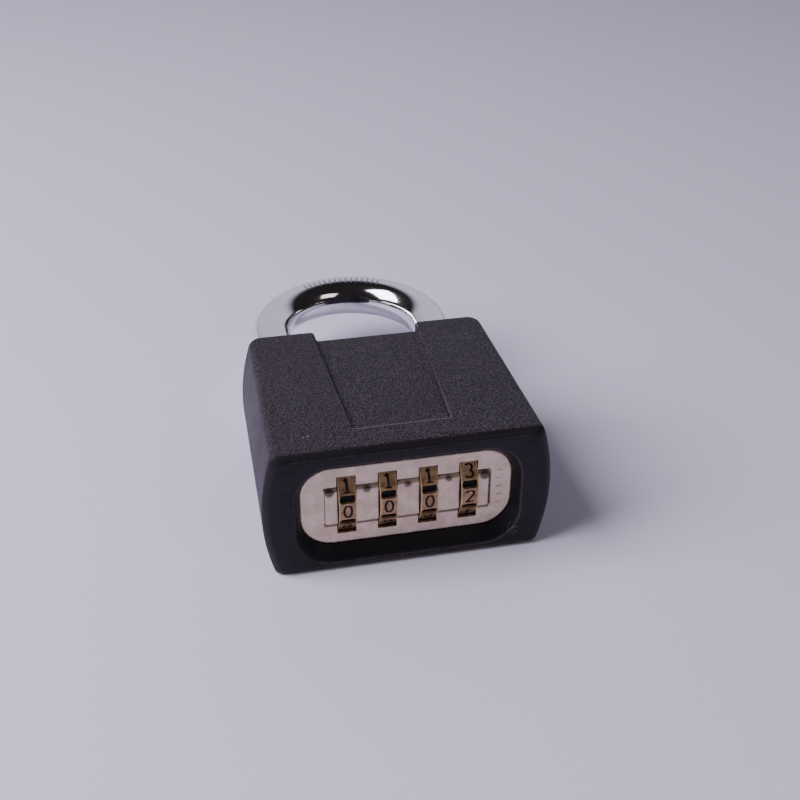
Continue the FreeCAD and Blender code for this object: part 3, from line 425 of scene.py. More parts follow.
# where the coat is chipped through (place and size in millimetres), and scuffed on the lower lip
CHIPS = (
    ((-16.1, -34.3, DEPTH), 0.34),
    ((-17.0, -34.6, DEPTH), 0.26),
    ((10.3, -32.4, DEPTH), 0.26),
)
SCUFF = (18.4, -39.5, 3.9)


def powder_coat():
    """Black powder coat: pebbled on the cast faces, smooth and darker on the dial end."""
    coat = Nodes("pebbled_black_powder_coat")
    # the grain is turned off the faces' planes, so that it looks alike on all of them
    tilted = coat.add("ShaderNodeMapping", Rotation=(0.6, 0.5, 0.4))
    coat.link(coat.place, tilted.inputs["Vector"])
    pebbles = coat.noise(0.29, 2.0, 0.55, tilted.outputs["Vector"])
    patchy = coat.noise(9.0, 2.0)
    fine = coat.noise(0.9, 3.0)
    # 1 on the pebbled faces, 0 on the machined dial end and inside its mouth
    cast = coat.ramp(coat.axis("Y"), (DIAL_END + 0.7) * MM, (DIAL_END + 1.3) * MM)
    off_middle = coat.maths("SUBTRACT", coat.axis("Z"), MIDDLE * MM)
    mouth_x = coat.ramp(coat.size(coat.axis("X")), 20.2 * MM, 20.6 * MM)
    mouth_z = coat.ramp(coat.size(off_middle), 11.2 * MM, 11.5 * MM)
    beyond_seat = coat.ramp(coat.axis("Y"), (DIAL_END + 3.2) * MM, (DIAL_END + 3.8) * MM)
    outside = coat.maths("MAXIMUM", coat.maths("MAXIMUM", mouth_x, mouth_z), beyond_seat)
    cast = coat.maths("MULTIPLY", cast, outside)
    rugged = coat.maths("ADD", coat.maths("MULTIPLY", cast, 0.95), 0.05)
    height = coat.maths("MULTIPLY", coat.ramp(pebbles, 0.34, 0.68), rugged)
    grain = coat.ramp(pebbles, 0.40, 0.66)
    skin = coat.mix(grain, (0.006, 0.0046, 0.0066), (0.074, 0.057, 0.078))
    skin = coat.mix(coat.ramp(patchy, 0.4, 0.7, 0.0, 0.25), skin, (0.034, 0.027, 0.037))
    machined = coat.mix(fine, (0.0085, 0.0062, 0.0098), (0.0140, 0.0108, 0.0155))
    colour = coat.mix(cast, machined, skin)
    # little light gets into the funnel behind the lip
    funnel = coat.ramp(coat.axis("Y"), (DIAL_END + 0.12) * MM, (DIAL_END + 0.5) * MM)
    funnel = coat.maths("MULTIPLY", funnel, coat.ramp(outside, 0.5, 0.0))
    colour = coat.mix(funnel, colour, (0.0035, 0.0028, 0.0045))
    # painted highlight: a lighter line along the ridge round the sunk panel
    up_panel = coat.maths("SUBTRACT", coat.axis("Y"), PANEL_FOOT * MM)
    wider = coat.maths("MULTIPLY", up_panel, PANEL_SPREAD)
    past_side = coat.maths("SUBTRACT", coat.size(coat.axis("X")), wider)
    past_side = coat.maths("SUBTRACT", past_side, PANEL_HALF * MM)
    past_foot = coat.maths("SUBTRACT", PANEL_FOOT * MM, coat.axis("Y"))
    past = coat.maths("MAXIMUM", past_side, past_foot)
    ridge = coat.band(past, (0.06, 0.14), (0.22, 0.34))
    on_top = coat.ramp(coat.axis("Z"), (DEPTH - 0.3) * MM, (DEPTH - 0.1) * MM, 0.0, 0.7)
    ridge = coat.maths("MULTIPLY", ridge, on_top)
    colour = coat.mix(ridge, colour, (0.17, 0.15, 0.17))
    # painted shade: a dark line down in the corner beside it
    gutter_shade = coat.band(past, (-0.20, -0.08), (0.02, 0.10))
    near_front = coat.ramp(coat.axis("Z"), (DEPTH - 1.0) * MM, (DEPTH - 0.8) * MM, 0.0, 0.8)
    gutter_shade = coat.maths("MULTIPLY", gutter_shade, near_front)
    colour = coat.mix(gutter_shade, colour, (0.006, 0.005, 0.007))
    # painted highlight: a lighter band round the mouth's lip
    lip = coat.band(coat.axis("Y"), (DIAL_END + 0.005, DIAL_END + 0.04),
                    (DIAL_END + 0.16, DIAL_END + 0.30))
    lip = coat.maths("MULTIPLY", lip, coat.ramp(outside, 0.5, 0.0))
    lip = coat.maths("MULTIPLY", lip, coat.ramp(fine, 0.3, 0.7, 0.25, 0.8))
    colour = coat.mix(lip, colour, (0.055, 0.046, 0.056))
    # bare zinc shows where the coat is chipped, and the mouth's right corner is scuffed
    for place, size in CHIPS:
        ragged = coat.maths("MULTIPLY", coat.noise(0.30, 2.0), size * MM)
        chip = coat.maths("ADD", coat.reach(place), ragged)
        chip = coat.ramp(chip, size * 0.95 * MM, size * 0.85 * MM)
        colour = coat.mix(chip, colour, (0.40, 0.38, 0.37))
    scuff = coat.ramp(coat.reach(SCUFF), 1.7 * MM, 0.5 * MM)
    scuff = coat.maths("MULTIPLY", scuff, coat.ramp(coat.noise(0.45, 3.0, 0.7), 0.52, 0.66))
    colour = coat.mix(scuff, colour, (0.13, 0.12, 0.115))
    rough = coat.ramp(patchy, 0.3, 0.7, 0.42, 0.52)
    rough = coat.maths("ADD", rough, coat.maths("MULTIPLY", cast, 0.05))
    return coat.finish(colour, rough, coat.bump(height, 0.07), Specular_IOR_Level=0.22)


body_shell = casting().build("body_casting")
body_shell.data.materials.append(powder_coat())
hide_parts("body_shell")
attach(body_shell, "case")

# ---- Assembly pins -----------------------------------------------------------------------------
# Two steel pins are pressed into the dial end's front corners and ground flush before coating.
# Only a faint round edge shows where each one sits in the casting.
pin_low, pin_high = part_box("end_pin_right")
PIN_RADIUS = (pin_high[0] - pin_low[0]) / 2 / MM
PIN_SPREAD = (pin_high[0] + pin_low[0]) / 2 / MM
PIN_RISE = (pin_high[2] + pin_low[2]) / 2 / MM
PIN_LENGTH = (pin_high[1] - pin_low[1]) / MM
PIN_PROUD = 0.035


def turned(profile, count=48):
    """A turned piece along Y: each (radius, y) of the profile swept through a full circle."""
    angle = np.linspace(0, 2 * np.pi, count, endpoint=False)
    radius = np.array([point[0] for point in profile])[:, None]
    level = np.array([point[1] for point in profile])[:, None]
    rows = [radius * np.cos(angle), level + 0 * angle, radius * np.sin(angle)]
    return np.stack(np.broadcast_arrays(*rows), -1)


def satin_black_pin():
    """Ground pin end under a thin black coat, with fine turning marks."""
    coat = Nodes("coated_pin_end")
    mottle = coat.noise(0.8, 3.0)
    colour = coat.mix(mottle, (0.0070, 0.0052, 0.0082), (0.0125, 0.0098, 0.0140))
    rough = coat.ramp(mottle, 0.3, 0.7, 0.40, 0.50)
    return coat.finish(colour, rough, coat.bump(coat.noise(0.3), 0.006), Specular_IOR_Level=0.22)


pin_coat = satin_black_pin()
for side, sign in (("left", -1), ("right", 1)):
    patches = Patches()
    pin = turned([(0, -PIN_PROUD), (1.2, -PIN_PROUD), (PIN_RADIUS - 0.16, -0.03),
                  (PIN_RADIUS - 0.04, 0.02), (PIN_RADIUS, 0.12), (PIN_RADIUS, PIN_LENGTH),
                  (0, PIN_LENGTH)])
    patches.add(pin + [sign * PIN_SPREAD, DIAL_END, PIN_RISE], closed=True)
    piece = patches.build("assembly_pin_" + side)
    piece.data.materials.append(pin_coat)
    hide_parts("end_pin_" + side)
    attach(piece, "case")

# ---- Dial plate --------------------------------------------------------------------------------
# A face plate stamped from steel strip and nickel plated: a flat blank with rounded corners, one
# soft-edged bead pressed forward across its middle, and four windows punched through for the dials.
plate_low, plate_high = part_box("dial_plate")
PLATE_HALF = (plate_high[0] - plate_low[0]) / 2 / MM
PLATE_TALL = (plate_high[2] - plate_low[2]) / 2 / MM
PLATE_CORNER = 5.7
PLATE_GAUGE = 0.7
PLATE_FRONT = plate_high[1] / MM - PLATE_GAUGE
BEAD_HALF = 14.3
BEAD_TALL = 3.6
BEAD_RISE = 0.62
EDGE_DROOP = 0.12
WINDOW_HALF = 1.65
WINDOW_TALL = 5.9
DIAL_PITCH = 7.04
DIAL_CENTRES = [DIAL_PITCH * step for step in (-1.5, -0.5, 0.5, 1.5)]


def soft_step(value, edge, width):
    """0 inside the edge to 1 outside it, as a smooth cubic over the width."""
    share = np.clip((value - edge) / width + 0.5, 0, 1)
    return share * share * (3 - 2 * share)


def face_plate():
    """Height field over a rounded rectangle, with the windows' cells left out and walls added.

    Columns spread out to the plate's half width at each height, which follows its corner arcs.
    The bead is a product of two soft steps, rippled a little where the punch drew it."""
    straight = PLATE_HALF - PLATE_CORNER
    window_edges = [centre + side * WINDOW_HALF for centre in DIAL_CENTRES for side in (-1, 1)]
    inner = np.round(np.linspace(-straight, straight, 88), 5)
    inner = inner[np.min(np.abs(inner[:, None] - np.array(window_edges)), 1) > 0.12]
    inner = np.unique(np.concatenate([inner, window_edges]))
    wing = np.linspace(0, 1, 22)[1:] * PLATE_CORNER
    columns = np.concatenate([-straight - wing[::-1], inner, straight + wing])
    tall = PLATE_TALL - PLATE_CORNER
    turn = PLATE_CORNER * np.sin(np.radians(np.linspace(0, 90, 14)))[1:]
    rows = np.concatenate([-tall - turn[::-1], np.linspace(-tall, tall, 20), tall + turn])
    rows = rows[np.abs(np.abs(rows) - WINDOW_TALL) > 0.15]
    slope = np.linspace(-0.6, 0.6, 9)
    window_rows = [-WINDOW_TALL, WINDOW_TALL]
    rows = np.unique(np.concatenate([rows, window_rows, BEAD_TALL + slope, -BEAD_TALL + slope]))
    past = np.clip(np.abs(rows) - tall, 0, PLATE_CORNER)
    half = straight + np.sqrt(np.maximum(PLATE_CORNER ** 2 - past ** 2, 0))
    half = np.maximum(half, straight + 0.02)
    beyond = np.clip((np.abs(columns) - straight) / PLATE_CORNER, 0, 1)
    inside = np.clip(np.abs(columns), 0, straight)
    x = np.sign(columns) * (inside + beyond * (half[:, None] - straight))
    z = np.repeat(rows[:, None], len(columns), 1)
    ripple = 0.05 * np.sin(x * 2 * np.pi / DIAL_PITCH + 0.6)
    bead = 1 - soft_step(np.abs(z) + ripple, BEAD_TALL, 0.50)
    bead *= 1 - soft_step(np.abs(x), BEAD_HALF, 0.8)
    from_corner = np.hypot(np.maximum(np.abs(x) - straight, 0), np.maximum(np.abs(z) - tall, 0))
    droop = EDGE_DROOP * soft_step(from_corner, PLATE_CORNER - EDGE_DROOP, 0.3)
    y = PLATE_FRONT - BEAD_RISE * bead + droop
    front = np.stack([x, y, z + MIDDLE], -1)
    behind = np.stack([x, PLATE_FRONT + PLATE_GAUGE + 0 * x, z + MIDDLE], -1)
    mid_x = (columns[:-1] + columns[1:]) / 2
    mid_z = (rows[:-1] + rows[1:]) / 2
    in_x = np.min(np.abs(mid_x[:, None] - np.array(DIAL_CENTRES)), 1) < WINDOW_HALF
    skip = (np.abs(mid_z) < WINDOW_TALL)[:, None] & in_x[None, :]
    patches = Patches()
    patches.add(front, skip=skip)
    patches.add(behind[:, ::-1], skip=skip[:, ::-1])
    patches.add(np.stack([border(front), border(behind)]), closed=True)
    low, high = (int(np.argmin(np.abs(rows - side * WINDOW_TALL))) for side in (-1, 1))
    for centre in DIAL_CENTRES:
        edges = (centre - WINDOW_HALF, centre + WINDOW_HALF)
        left, right = (int(np.argmin(np.abs(columns - edge))) for edge in edges)
        walls = [border(sheet[low:high + 1, left:right + 1]) for sheet in (behind, front)]
        patches.add(np.stack(walls), closed=True)
    return patches


# painted dark reflection spots on the bead: their places across the plate and sizes, in millimetres
BEAD_REFLECTION_SPOTS = ((-13.5, 0.9), (-DIAL_PITCH, 0.75), (0.0, 0.6), (DIAL_PITCH, 0.6), (13.3, 0.9))


def nickel_plate():
    """Warm bright nickel over stamped steel: soft mottling, faint scratches, painted shade and
    reflections.
    """
    metal = Nodes("warm_nickel_plate")
    mottle = metal.noise(2.6, 4.0, 0.6)
    fine = metal.noise(0.35, 3.0, 0.6)
    colour = metal.mix(metal.ramp(mottle, 0.35, 0.68), (0.49, 0.385, 0.305), (0.62, 0.500, 0.405))
    # painted shade of the gap under the mouth's lip: a patchy darker brown band along the plate's top
    # edge
    plate_top = MIDDLE + PLATE_TALL
    top = metal.ramp(metal.axis("Z"), (plate_top - 0.55) * MM, (plate_top - 0.1) * MM)
    top_gap_shade = metal.maths("MULTIPLY", top, metal.ramp(metal.noise(1.8, 3.0), 0.25, 0.5, 0.35, 1.0))
    colour = metal.mix(top_gap_shade, colour, (0.060, 0.034, 0.026))
    # painted shade and dark reflection lie along the foot of the bead, thicker below it
    rise = metal.maths("SUBTRACT", metal.axis("Z"), MIDDLE * MM)
    off_middle = metal.size(rise)
    along = metal.ramp(metal.size(metal.axis("X")), (BEAD_HALF + 0.25) * MM, BEAD_HALF * MM)
    along = metal.maths("MULTIPLY", along, metal.ramp(mottle, 0.2, 0.55, 0.7, 1.0))
    soft = 0.06
    for low, high in ((BEAD_TALL + 0.14, BEAD_TALL + 0.32), (-BEAD_TALL - 0.66, -BEAD_TALL - 0.05)):
        foot_shade = metal.band(rise, (low - soft, low + soft), (high - soft, high + soft), 0.85)
        colour = metal.mix(metal.maths("MULTIPLY", foot_shade, along), colour, (0.075, 0.058, 0.052))
    # painted dark reflections along the bead's upper edge, between the windows and in its corners
    for x, size in BEAD_REFLECTION_SPOTS:
        reflection_spot = (x, PLATE_FRONT - BEAD_RISE, MIDDLE + BEAD_TALL - 0.35)
        ragged = metal.maths("ADD", metal.reach(reflection_spot), metal.maths("MULTIPLY", mottle, 0.9 * MM))
        ragged = metal.ramp(ragged, (size + 0.75) * MM, (size + 0.1) * MM, 0.0, 0.85)
        colour = metal.mix(ragged, colour, (0.05, 0.036, 0.034))
    # the punch leaves the bead's slopes matte
    slope = metal.band(off_middle, (BEAD_TALL - 0.45, BEAD_TALL - 0.25),
                       (BEAD_TALL + 0.2, BEAD_TALL + 0.35))
    matte = metal.maths("MULTIPLY", metal.maths("MULTIPLY", slope, along), 0.50)
    rough = metal.ramp(mottle, 0.3, 0.75, 0.22, 0.34)
    rough = metal.maths("ADD", rough, matte)
    height = metal.maths("ADD", metal.maths("MULTIPLY", mottle, 0.8), metal.maths("MULTIPLY", fine, 0.2))
    return metal.finish(colour, rough, metal.bump(height, 0.025), Metallic=1.0)


DASH_COUNT = 5
DASH_PITCH = 1.7
DASH_X = 16.1


def plate_marks():
    """Five short raised dashes, one above another at the plate's right end: domed strips."""
    patches = Patches()
    rise = np.array([-0.05, 0.05, 0.07, 0.05, -0.05])[:, None]
    tall = np.array([-1.0, -0.6, 0.0, 0.6, 1.0])[:, None] * 0.17
    wide = np.linspace(-0.62, 0.62, 9)[None, :]
    lift = np.minimum(rise, np.where(np.abs(wide) > 0.6, -0.05, 1.0))
    for step in range(DASH_COUNT):
        z = MIDDLE + DASH_PITCH * ((DASH_COUNT - 1) / 2 - step) + tall + 0 * wide
        patches.add(np.stack([DASH_X + wide + 0 * tall, PLATE_FRONT - lift, z], -1))
    return patches


nickel = nickel_plate()
dial_plate = face_plate().build("face_plate", sharp=50.0)
dial_plate.data.materials.append(nickel)
dashes = plate_marks().build("plate_dashes", sharp=60.0)
dashes.data.materials.append(nickel)
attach(dashes, "case")
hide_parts("dial_plate")
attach(dial_plate, "case")

# ---- Number dials ------------------------------------------------------------------------------
# Four brass rings, each with ten flat lands that carry a stamped digit and ten pill-shaped finger
# grooves sunk between them. The digits and grooves are filled with black, and a painted highlight
# lies along the high edges.
dial_low, dial_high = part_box("dial_1")
DIAL_RADIUS = 7.7
DIAL_HALF = (dial_high[0] - dial_low[0]) / 2 / MM
DIAL_BORE = 4.05
SPINDLE_Y = (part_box("dial_spindle")[0][1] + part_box("dial_spindle")[1][1]) / 2 / MM
READING_TILT = -1.5
LAND_RADIUS = 7.5
GROOVE_SINK = 0.8
GROOVE_WIDE = 0.90
GROOVE_TALL = 0.30
GROOVE_ROUND = 0.36
DIGIT_TALL = 2.4
DIGIT_STROKE = 0.58
SHOWN = (0, 0, 0, 2)


def land_radius(angle):
    """Radius of the ring at an angle from the reading line: ten flats, eased into a circle."""
    away = (angle - np.radians(READING_TILT) + np.pi / 10) % (np.pi / 5) - np.pi / 10
    return np.minimum(DIAL_RADIUS, LAND_RADIUS / np.cos(away) + 0.02 * np.cos(away * 10))


def mirrored(places):
    """The places' negatives, zero and the places, in order."""
    places = np.array(places)
    return np.concatenate([-places[::-1], [0], places])


def number_ring(centre):
    """A closed profile carried round the spindle, with its rim cut back at each groove.

    The groove's depth is a soft step of the distance from a pill-shaped outline."""
    tight = np.radians(mirrored([1.6, 3.2, 4.2, 4.6, 5.0, 5.4, 6.2, 7.2]))
    plain = np.radians(np.linspace(9, 27, 9))
    once = np.concatenate([tight, plain])
    start = np.radians(READING_TILT - 18)
    angle = (start + np.arange(10)[:, None] * np.pi / 5 + once[None, :]).ravel()
    across = mirrored([0.35, 0.7, 1.0, 1.1, 1.16, 1.22, 1.3, 1.44, 1.5])
    across = across / across[-1] * DIAL_HALF
    edge = 0.07 * (np.abs(across) > DIAL_HALF - 0.01)
    away = (angle - start + np.pi / 10) % (np.pi / 5) - np.pi / 10
    along = away * DIAL_RADIUS
    past_wide = np.maximum(np.abs(across) - GROOVE_WIDE, 0)
    past_tall = np.maximum(np.abs(along) - GROOVE_TALL, 0)
    pill = np.hypot(past_wide[:, None], past_tall[None, :])
    groove = 1 - soft_step(pill, GROOVE_ROUND, 0.16)
    ridge = np.exp(-((np.abs(along) - 0.92) / 0.12) ** 2) * 0.055
    rim = land_radius(angle)[None, :] + ridge[None, :] - GROOVE_SINK * groove - edge[:, None]
    under_groove = DIAL_RADIUS - 0.9
    inner = ((DIAL_HALF, under_groove), (DIAL_HALF, DIAL_BORE),
             (-DIAL_HALF, DIAL_BORE), (-DIAL_HALF, under_groove))
    radius = np.concatenate([rim, [np.full(len(angle), reach) for _, reach in inner]])
    x = np.concatenate([across, [place for place, _ in inner]])
    radius = np.concatenate([radius, radius[:1]])
    x = np.concatenate([x, x[:1]])
    grid = np.stack([
        centre + x[:, None] + 0 * radius,
        SPINDLE_Y - radius * np.cos(angle),
        MIDDLE + radius * np.sin(angle),
    ], -1)
    patches = Patches()
    patches.add(grid, closed=True)
    return patches


def bend(cx, cy, rx, ry, start, stop, count=14):
    """Points along an ellipse arc, angles in degrees."""
    angle = np.radians(np.linspace(start, stop, count))
    return np.stack([cx + rx * np.cos(angle), cy + ry * np.sin(angle)], 1)


def numeral(digit):
    """Strokes of a plain stamped numeral, one unit tall and centred on its land."""
    line = np.array
    return {
        0: [bend(0, 0, 0.27, 0.5, 90, 450, 30)],
        1: [line([(-0.17, 0.30), (0.02, 0.5), (0.02, -0.5)]), line([(-0.2, -0.5), (0.24, -0.5)])],
        2: [np.concatenate([bend(0, 0.24, 0.27, 0.26, 165, -35), [(-0.28, -0.5), (0.3, -0.5)]])],
        3: [np.concatenate([bend(-0.02, 0.26, 0.24, 0.24, 150, -80),
                            bend(-0.02, -0.23, 0.28, 0.27, 85, -155)])],
        4: [line([(0.12, -0.5), (0.12, 0.5), (-0.3, -0.2), (0.3, -0.2)])],
        5: [np.concatenate([[(0.25, 0.5), (-0.2, 0.5), (-0.23, 0.08)],
                            bend(-0.01, -0.18, 0.29, 0.32, 125, -150)])],
        6: [np.concatenate([bend(0.1, -0.1, 0.37, 0.6, 80, 175),
                            bend(0, -0.2, 0.27, 0.3, 175, 535, 28)])],
        7: [line([(-0.28, 0.5), (0.28, 0.5), (-0.08, -0.5)])],
        8: [bend(0, 0.26, 0.22, 0.24, -90, 270, 26), bend(0, -0.24, 0.27, 0.26, 90, 450, 26)],
        9: [np.concatenate([bend(-0.1, 0.1, 0.37, 0.6, -100, -5),
                            bend(0, 0.2, 0.27, 0.3, -5, 355, 28)])],
    }[digit]


def even_points(stroke, spacing):
    """The stroke cut into equal steps along its length."""
    lengths = np.concatenate([[0], np.cumsum(np.linalg.norm(np.diff(stroke, axis=0), axis=1))])
    places = np.linspace(0, lengths[-1], max(4, int(lengths[-1] / spacing)))
    return np.stack([np.interp(places, lengths, stroke[:, axis]) for axis in (0, 1)], 1)


def wrapped_stroke(stroke, centre, angle, tall, wide):
    """A ribbon along the stroke, laid on the ring: across goes to X and up goes round it.

    Its edges sit just inside the metal and its middle a hair above, as an enamel fill does."""
    points = even_points(stroke * tall, 0.09)
    along = np.gradient(points, axis=0)
    along /= np.linalg.norm(along, axis=1)[:, None]
    side = np.stack([-along[:, 1], along[:, 0]], 1)
    offsets = np.array([-1.0, -0.62, 0.0, 0.62, 1.0]) * wide / 2
    rise = np.array([-0.05, 0.016, 0.022, 0.016, -0.05])
    flat = points[None] + offsets[:, None, None] * side[None]
    turn = angle + flat[..., 1] / LAND_RADIUS
    radius = land_radius(turn) + rise[:, None]
    radius = np.concatenate([radius, radius[:1] - 0.05])
    turn = np.concatenate([turn, turn[:1]])
    x = np.concatenate([flat[..., 0], flat[:1, :, 0]]) + centre
    return np.stack([x, SPINDLE_Y - radius * np.cos(turn), MIDDLE + radius * np.sin(turn)], -1)


def antique_brass():
    """Brass with a brown patina in the hollows, painted highlights on edges, black in the grooves."""
    metal = Nodes("antique_brass")
    cloud = metal.noise(1.1, 4.0, 0.6)
    fine = metal.noise(0.22, 3.0, 0.6)
    depth = metal.add("ShaderNodeVectorMath", operation="LENGTH")
    centred = metal.add("ShaderNodeVectorMath", operation="MULTIPLY_ADD")
    metal.link(metal.place, centred.inputs[0])
    centred.inputs[1].default_value = (0, 1, 1)
    centred.inputs[2].default_value = (0, -SPINDLE_Y * MM, -MIDDLE * MM)
    metal.link(centred.outputs["Vector"], depth.inputs[0])
    reach = depth.outputs["Value"]
    colour = metal.mix(metal.ramp(cloud, 0.32, 0.68), (0.24, 0.145, 0.080), (0.52, 0.345, 0.210))
    colour = metal.mix(metal.ramp(fine, 0.5, 0.75, 0, 0.5), colour, (0.13, 0.075, 0.035))
    # painted highlight on the lands' crests and the ring's two rims: how far a point is from the nearest
    # dial's middle
    off_spacer = metal.maths("PINGPONG", metal.axis("X"), DIAL_PITCH / 2 * MM)
    off_centre = metal.maths("SUBTRACT", DIAL_PITCH / 2 * MM, off_spacer)
    rim = metal.ramp(off_centre, (DIAL_HALF - 0.20) * MM, (DIAL_HALF - 0.08) * MM, 0.0, 0.75)
    edge = metal.ramp(reach, (DIAL_RADIUS - 0.04) * MM, (DIAL_RADIUS + 0.04) * MM, 0.0, 0.85)
    bright = metal.maths("MAXIMUM", edge, rim)
    colour = metal.mix(bright, colour, (0.80, 0.60, 0.33))
    paint_low = (DIAL_RADIUS - 0.6) * MM
    paint_high = (DIAL_RADIUS - 0.3) * MM
    black = metal.ramp(reach, paint_low, paint_high, 1.0, 0.0)
    colour = metal.mix(black, colour, (0.010, 0.009, 0.009))
    rough = metal.ramp(cloud, 0.3, 0.7, 0.44, 0.62)
    metallic = metal.ramp(reach, paint_low, paint_high, 0.0, 1.0)
    metal.link(metallic, metal.shader.inputs["Metallic"])
    return metal.finish(colour, rough, metal.bump(fine, 0.03), Specular_IOR_Level=0.25)


def digit_enamel():
    """Black enamel wiped into the stamped digits, a little worn."""
    paint = Nodes("digit_enamel")
    wear = paint.noise(0.3, 3.0)
    colour = paint.mix(paint.ramp(wear, 0.4, 0.7), (0.004, 0.004, 0.004), (0.016, 0.012, 0.010))
    rough = paint.ramp(wear, 0.3, 0.7, 0.5, 0.7)
    return paint.finish(colour, rough, paint.bump(wear, 0.01), Specular_IOR_Level=0.2)


brass = antique_brass()
enamel = digit_enamel()
for number, (centre, shown) in enumerate(zip(DIAL_CENTRES, SHOWN), start=1):
    ring = number_ring(centre).build("number_ring_%d" % number, sharp=40.0)
    ring.data.materials.append(brass)
    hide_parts("dial_%d" % number)
    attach(ring, "dial_%d" % number)
    patches = Patches()
    for digit in range(10):
        angle = np.radians(READING_TILT + 36.0 * (digit - shown))
        for stroke in numeral(digit):
            patches.add(wrapped_stroke(stroke, centre, angle, DIGIT_TALL, DIGIT_STROKE))
    digits = patches.build("digits_%d" % number, sharp=60.0)
    digits.data.materials.append(enamel)
    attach(digits, "dial_%d" % number)

# ---- Shackle -----------------------------------------------------------------------------------
# A hardened steel rod bent to a U and bright chrome plated. Both legs are notched on the inside
# for the locking bolts. The long heel leg also has a milled flat and a turned neck, which the
# stop pin runs in, and a row of plain punch marks is rolled into the front of the crown.
HALF_PITCH = (HEEL_X - TOE_X) / 2
CROWN_X = (HEEL_X + TOE_X) / 2
CROWN_Y = shackle_high[1] - HALF_PITCH - ROD
TOE_END = -14.0
HEEL_END = shackle_low[1]
END_CHAMFER = 0.6
BOLT_Y = -10.6
NOTCH_HALF = 2.15
NOTCH_SINK = 2.0
# the heel leg's neck and flat start and stop at these heights above its end
NECK_RADIUS = 2.8
NECK_START = 1.4
NECK_STOP = 3.8
FLAT_TOP = 18.4


def bent_rod():
    """A circle carried up the toe leg, round the crown's half circle and down the heel leg.

    Notches, flat and neck are made by clamping the points to the cut's plane or radius."""
    step = 0.01
    legs = []
    for x, end, sign in ((TOE_X, TOE_END, 1), (HEEL_X, HEEL_END, -1)):
        cuts = [end, end + END_CHAMFER, -5, 2, 10, CROWN_Y]
        cuts += [BOLT_Y - NOTCH_HALF - step, BOLT_Y - NOTCH_HALF]
        cuts += [BOLT_Y + NOTCH_HALF, BOLT_Y + NOTCH_HALF + step]
        if sign < 0:
            for level in (NECK_START, NECK_STOP, FLAT_TOP):
                cuts += [end + level, end + level + step]
        places = np.sort(np.array(cuts))
        legs.append(np.stack([np.full(len(places), x), places], 1)[::sign])
    crown = arc_points((CROWN_X, CROWN_Y), HALF_PITCH, 180, 0, 121)[1:-1]
    path = np.concatenate([legs[0], crown, legs[1]])
    heading = np.concatenate([
        np.full(len(legs[0]), 90.0), np.linspace(90, -90, 121)[1:-1], np.full(len(legs[1]), -90.0)])
    across = np.stack([-np.sin(np.radians(heading)), np.cos(np.radians(heading)), 0 * heading], 1)
    turn = np.linspace(0, 2 * np.pi, 96, endpoint=False)
    radius = np.full(len(path), ROD)
    radius[0] -= END_CHAMFER
    radius[-1] -= END_CHAMFER
    on_heel = (np.arange(len(path)) > len(legs[0])) & (path[:, 0] == HEEL_X)
    above_end = path[:, 1] - HEEL_END - step / 2
    neck = on_heel & (above_end > NECK_START) & (above_end < NECK_STOP)
    radius[neck] = NECK_RADIUS
    centre = np.concatenate([path, np.full((len(path), 1), MIDDLE)], 1)
    up = np.array([0.0, 0.0, 1.0])
    ring = np.cos(turn)[None, :, None] * across[:, None, :] + np.sin(turn)[None, :, None] * up
    points = centre[:, None, :] + radius[:, None, None] * ring
    notched = np.abs(path[:, 1] - BOLT_Y) < NOTCH_HALF + step / 2
    toe_rows = notched & (path[:, 0] == TOE_X)
    heel_rows = notched & on_heel
    points[toe_rows, :, 0] = np.minimum(points[toe_rows, :, 0], TOE_X + ROD - NOTCH_SINK)
    points[heel_rows, :, 0] = np.maximum(points[heel_rows, :, 0], HEEL_X - ROD + NOTCH_SINK)
    flat = on_heel & (above_end > NECK_START) & (above_end < FLAT_TOP)
    points[flat, :, 2] = np.maximum(points[flat, :, 2], MIDDLE - NECK_RADIUS)
    first_cap = centre[:1] + 0 * points[:1]
    last_cap = centre[-1:] + 0 * points[-1:]
    patches = Patches()
    patches.add(np.concatenate([first_cap, points, last_cap]), closed=True)
    return patches


def bright_chrome():
    """Chrome over polished steel: near mirror, with faint draw marks and handling haze."""
    metal = Nodes("bright_chrome")
    haze = metal.noise(6.0, 3.0)
    fine = metal.noise(0.8, 2.0)
    colour = metal.mix(haze, (0.78, 0.78, 0.80), (0.86, 0.86, 0.875))
    rough = metal.ramp(haze, 0.3, 0.7, 0.075, 0.13)
    return metal.finish(colour, rough, metal.bump(fine, 0.004), Metallic=1.0)


shackle = bent_rod().build("bent_shackle", sharp=30.0)
shackle.data.materials.append(bright_chrome())
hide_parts("shackle")
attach(shackle, "shackle")


def crown_marks():
    """Short plain bars across the rod, in a row along the top of the crown.

    Each bar is a strip of the rod's own surface: angles round the rod by angles round the crown."""
    patches = Patches()
    rise = np.array([-0.04, 0.004, 0.010, 0.004, -0.04])[:, None]
    across = np.array([-1.0, -0.8, 0.0, 0.8, 1.0])[:, None] * 0.26 / HALF_PITCH
    for middle in np.radians(np.linspace(117, 59, 15)):
        turn = np.radians(np.linspace(80, 112, 9))[None, :] - np.pi / 2 + 0 * across
        radius = ROD + rise + 0 * turn
        radius[:, 0] = ROD - 0.06
        radius[:, -1] = ROD - 0.06
        angle = middle + across + 0 * turn
        out = HALF_PITCH - radius * np.sin(turn)
        x = CROWN_X + out * np.cos(angle)
        y = CROWN_Y + out * np.sin(angle)
        patches.add(np.stack([x, y, MIDDLE + radius * np.cos(turn)], -1))
    return patches


def worked_metal(name, grain, dark, light, rough, depth, metallic=1.0):
    """Metal whose colour, roughness and bump all follow one noise.

    grain is the noise's size in millimetres, its detail and roughness; rough is (low, high)."""
    metal = Nodes(name)
    lay = metal.noise(*grain)
    colour = metal.mix(lay, dark, light)
    shine = metal.ramp(lay, 0.3, 0.7, *rough)
    return metal.finish(colour, shine, metal.bump(lay, depth), Metallic=metallic)


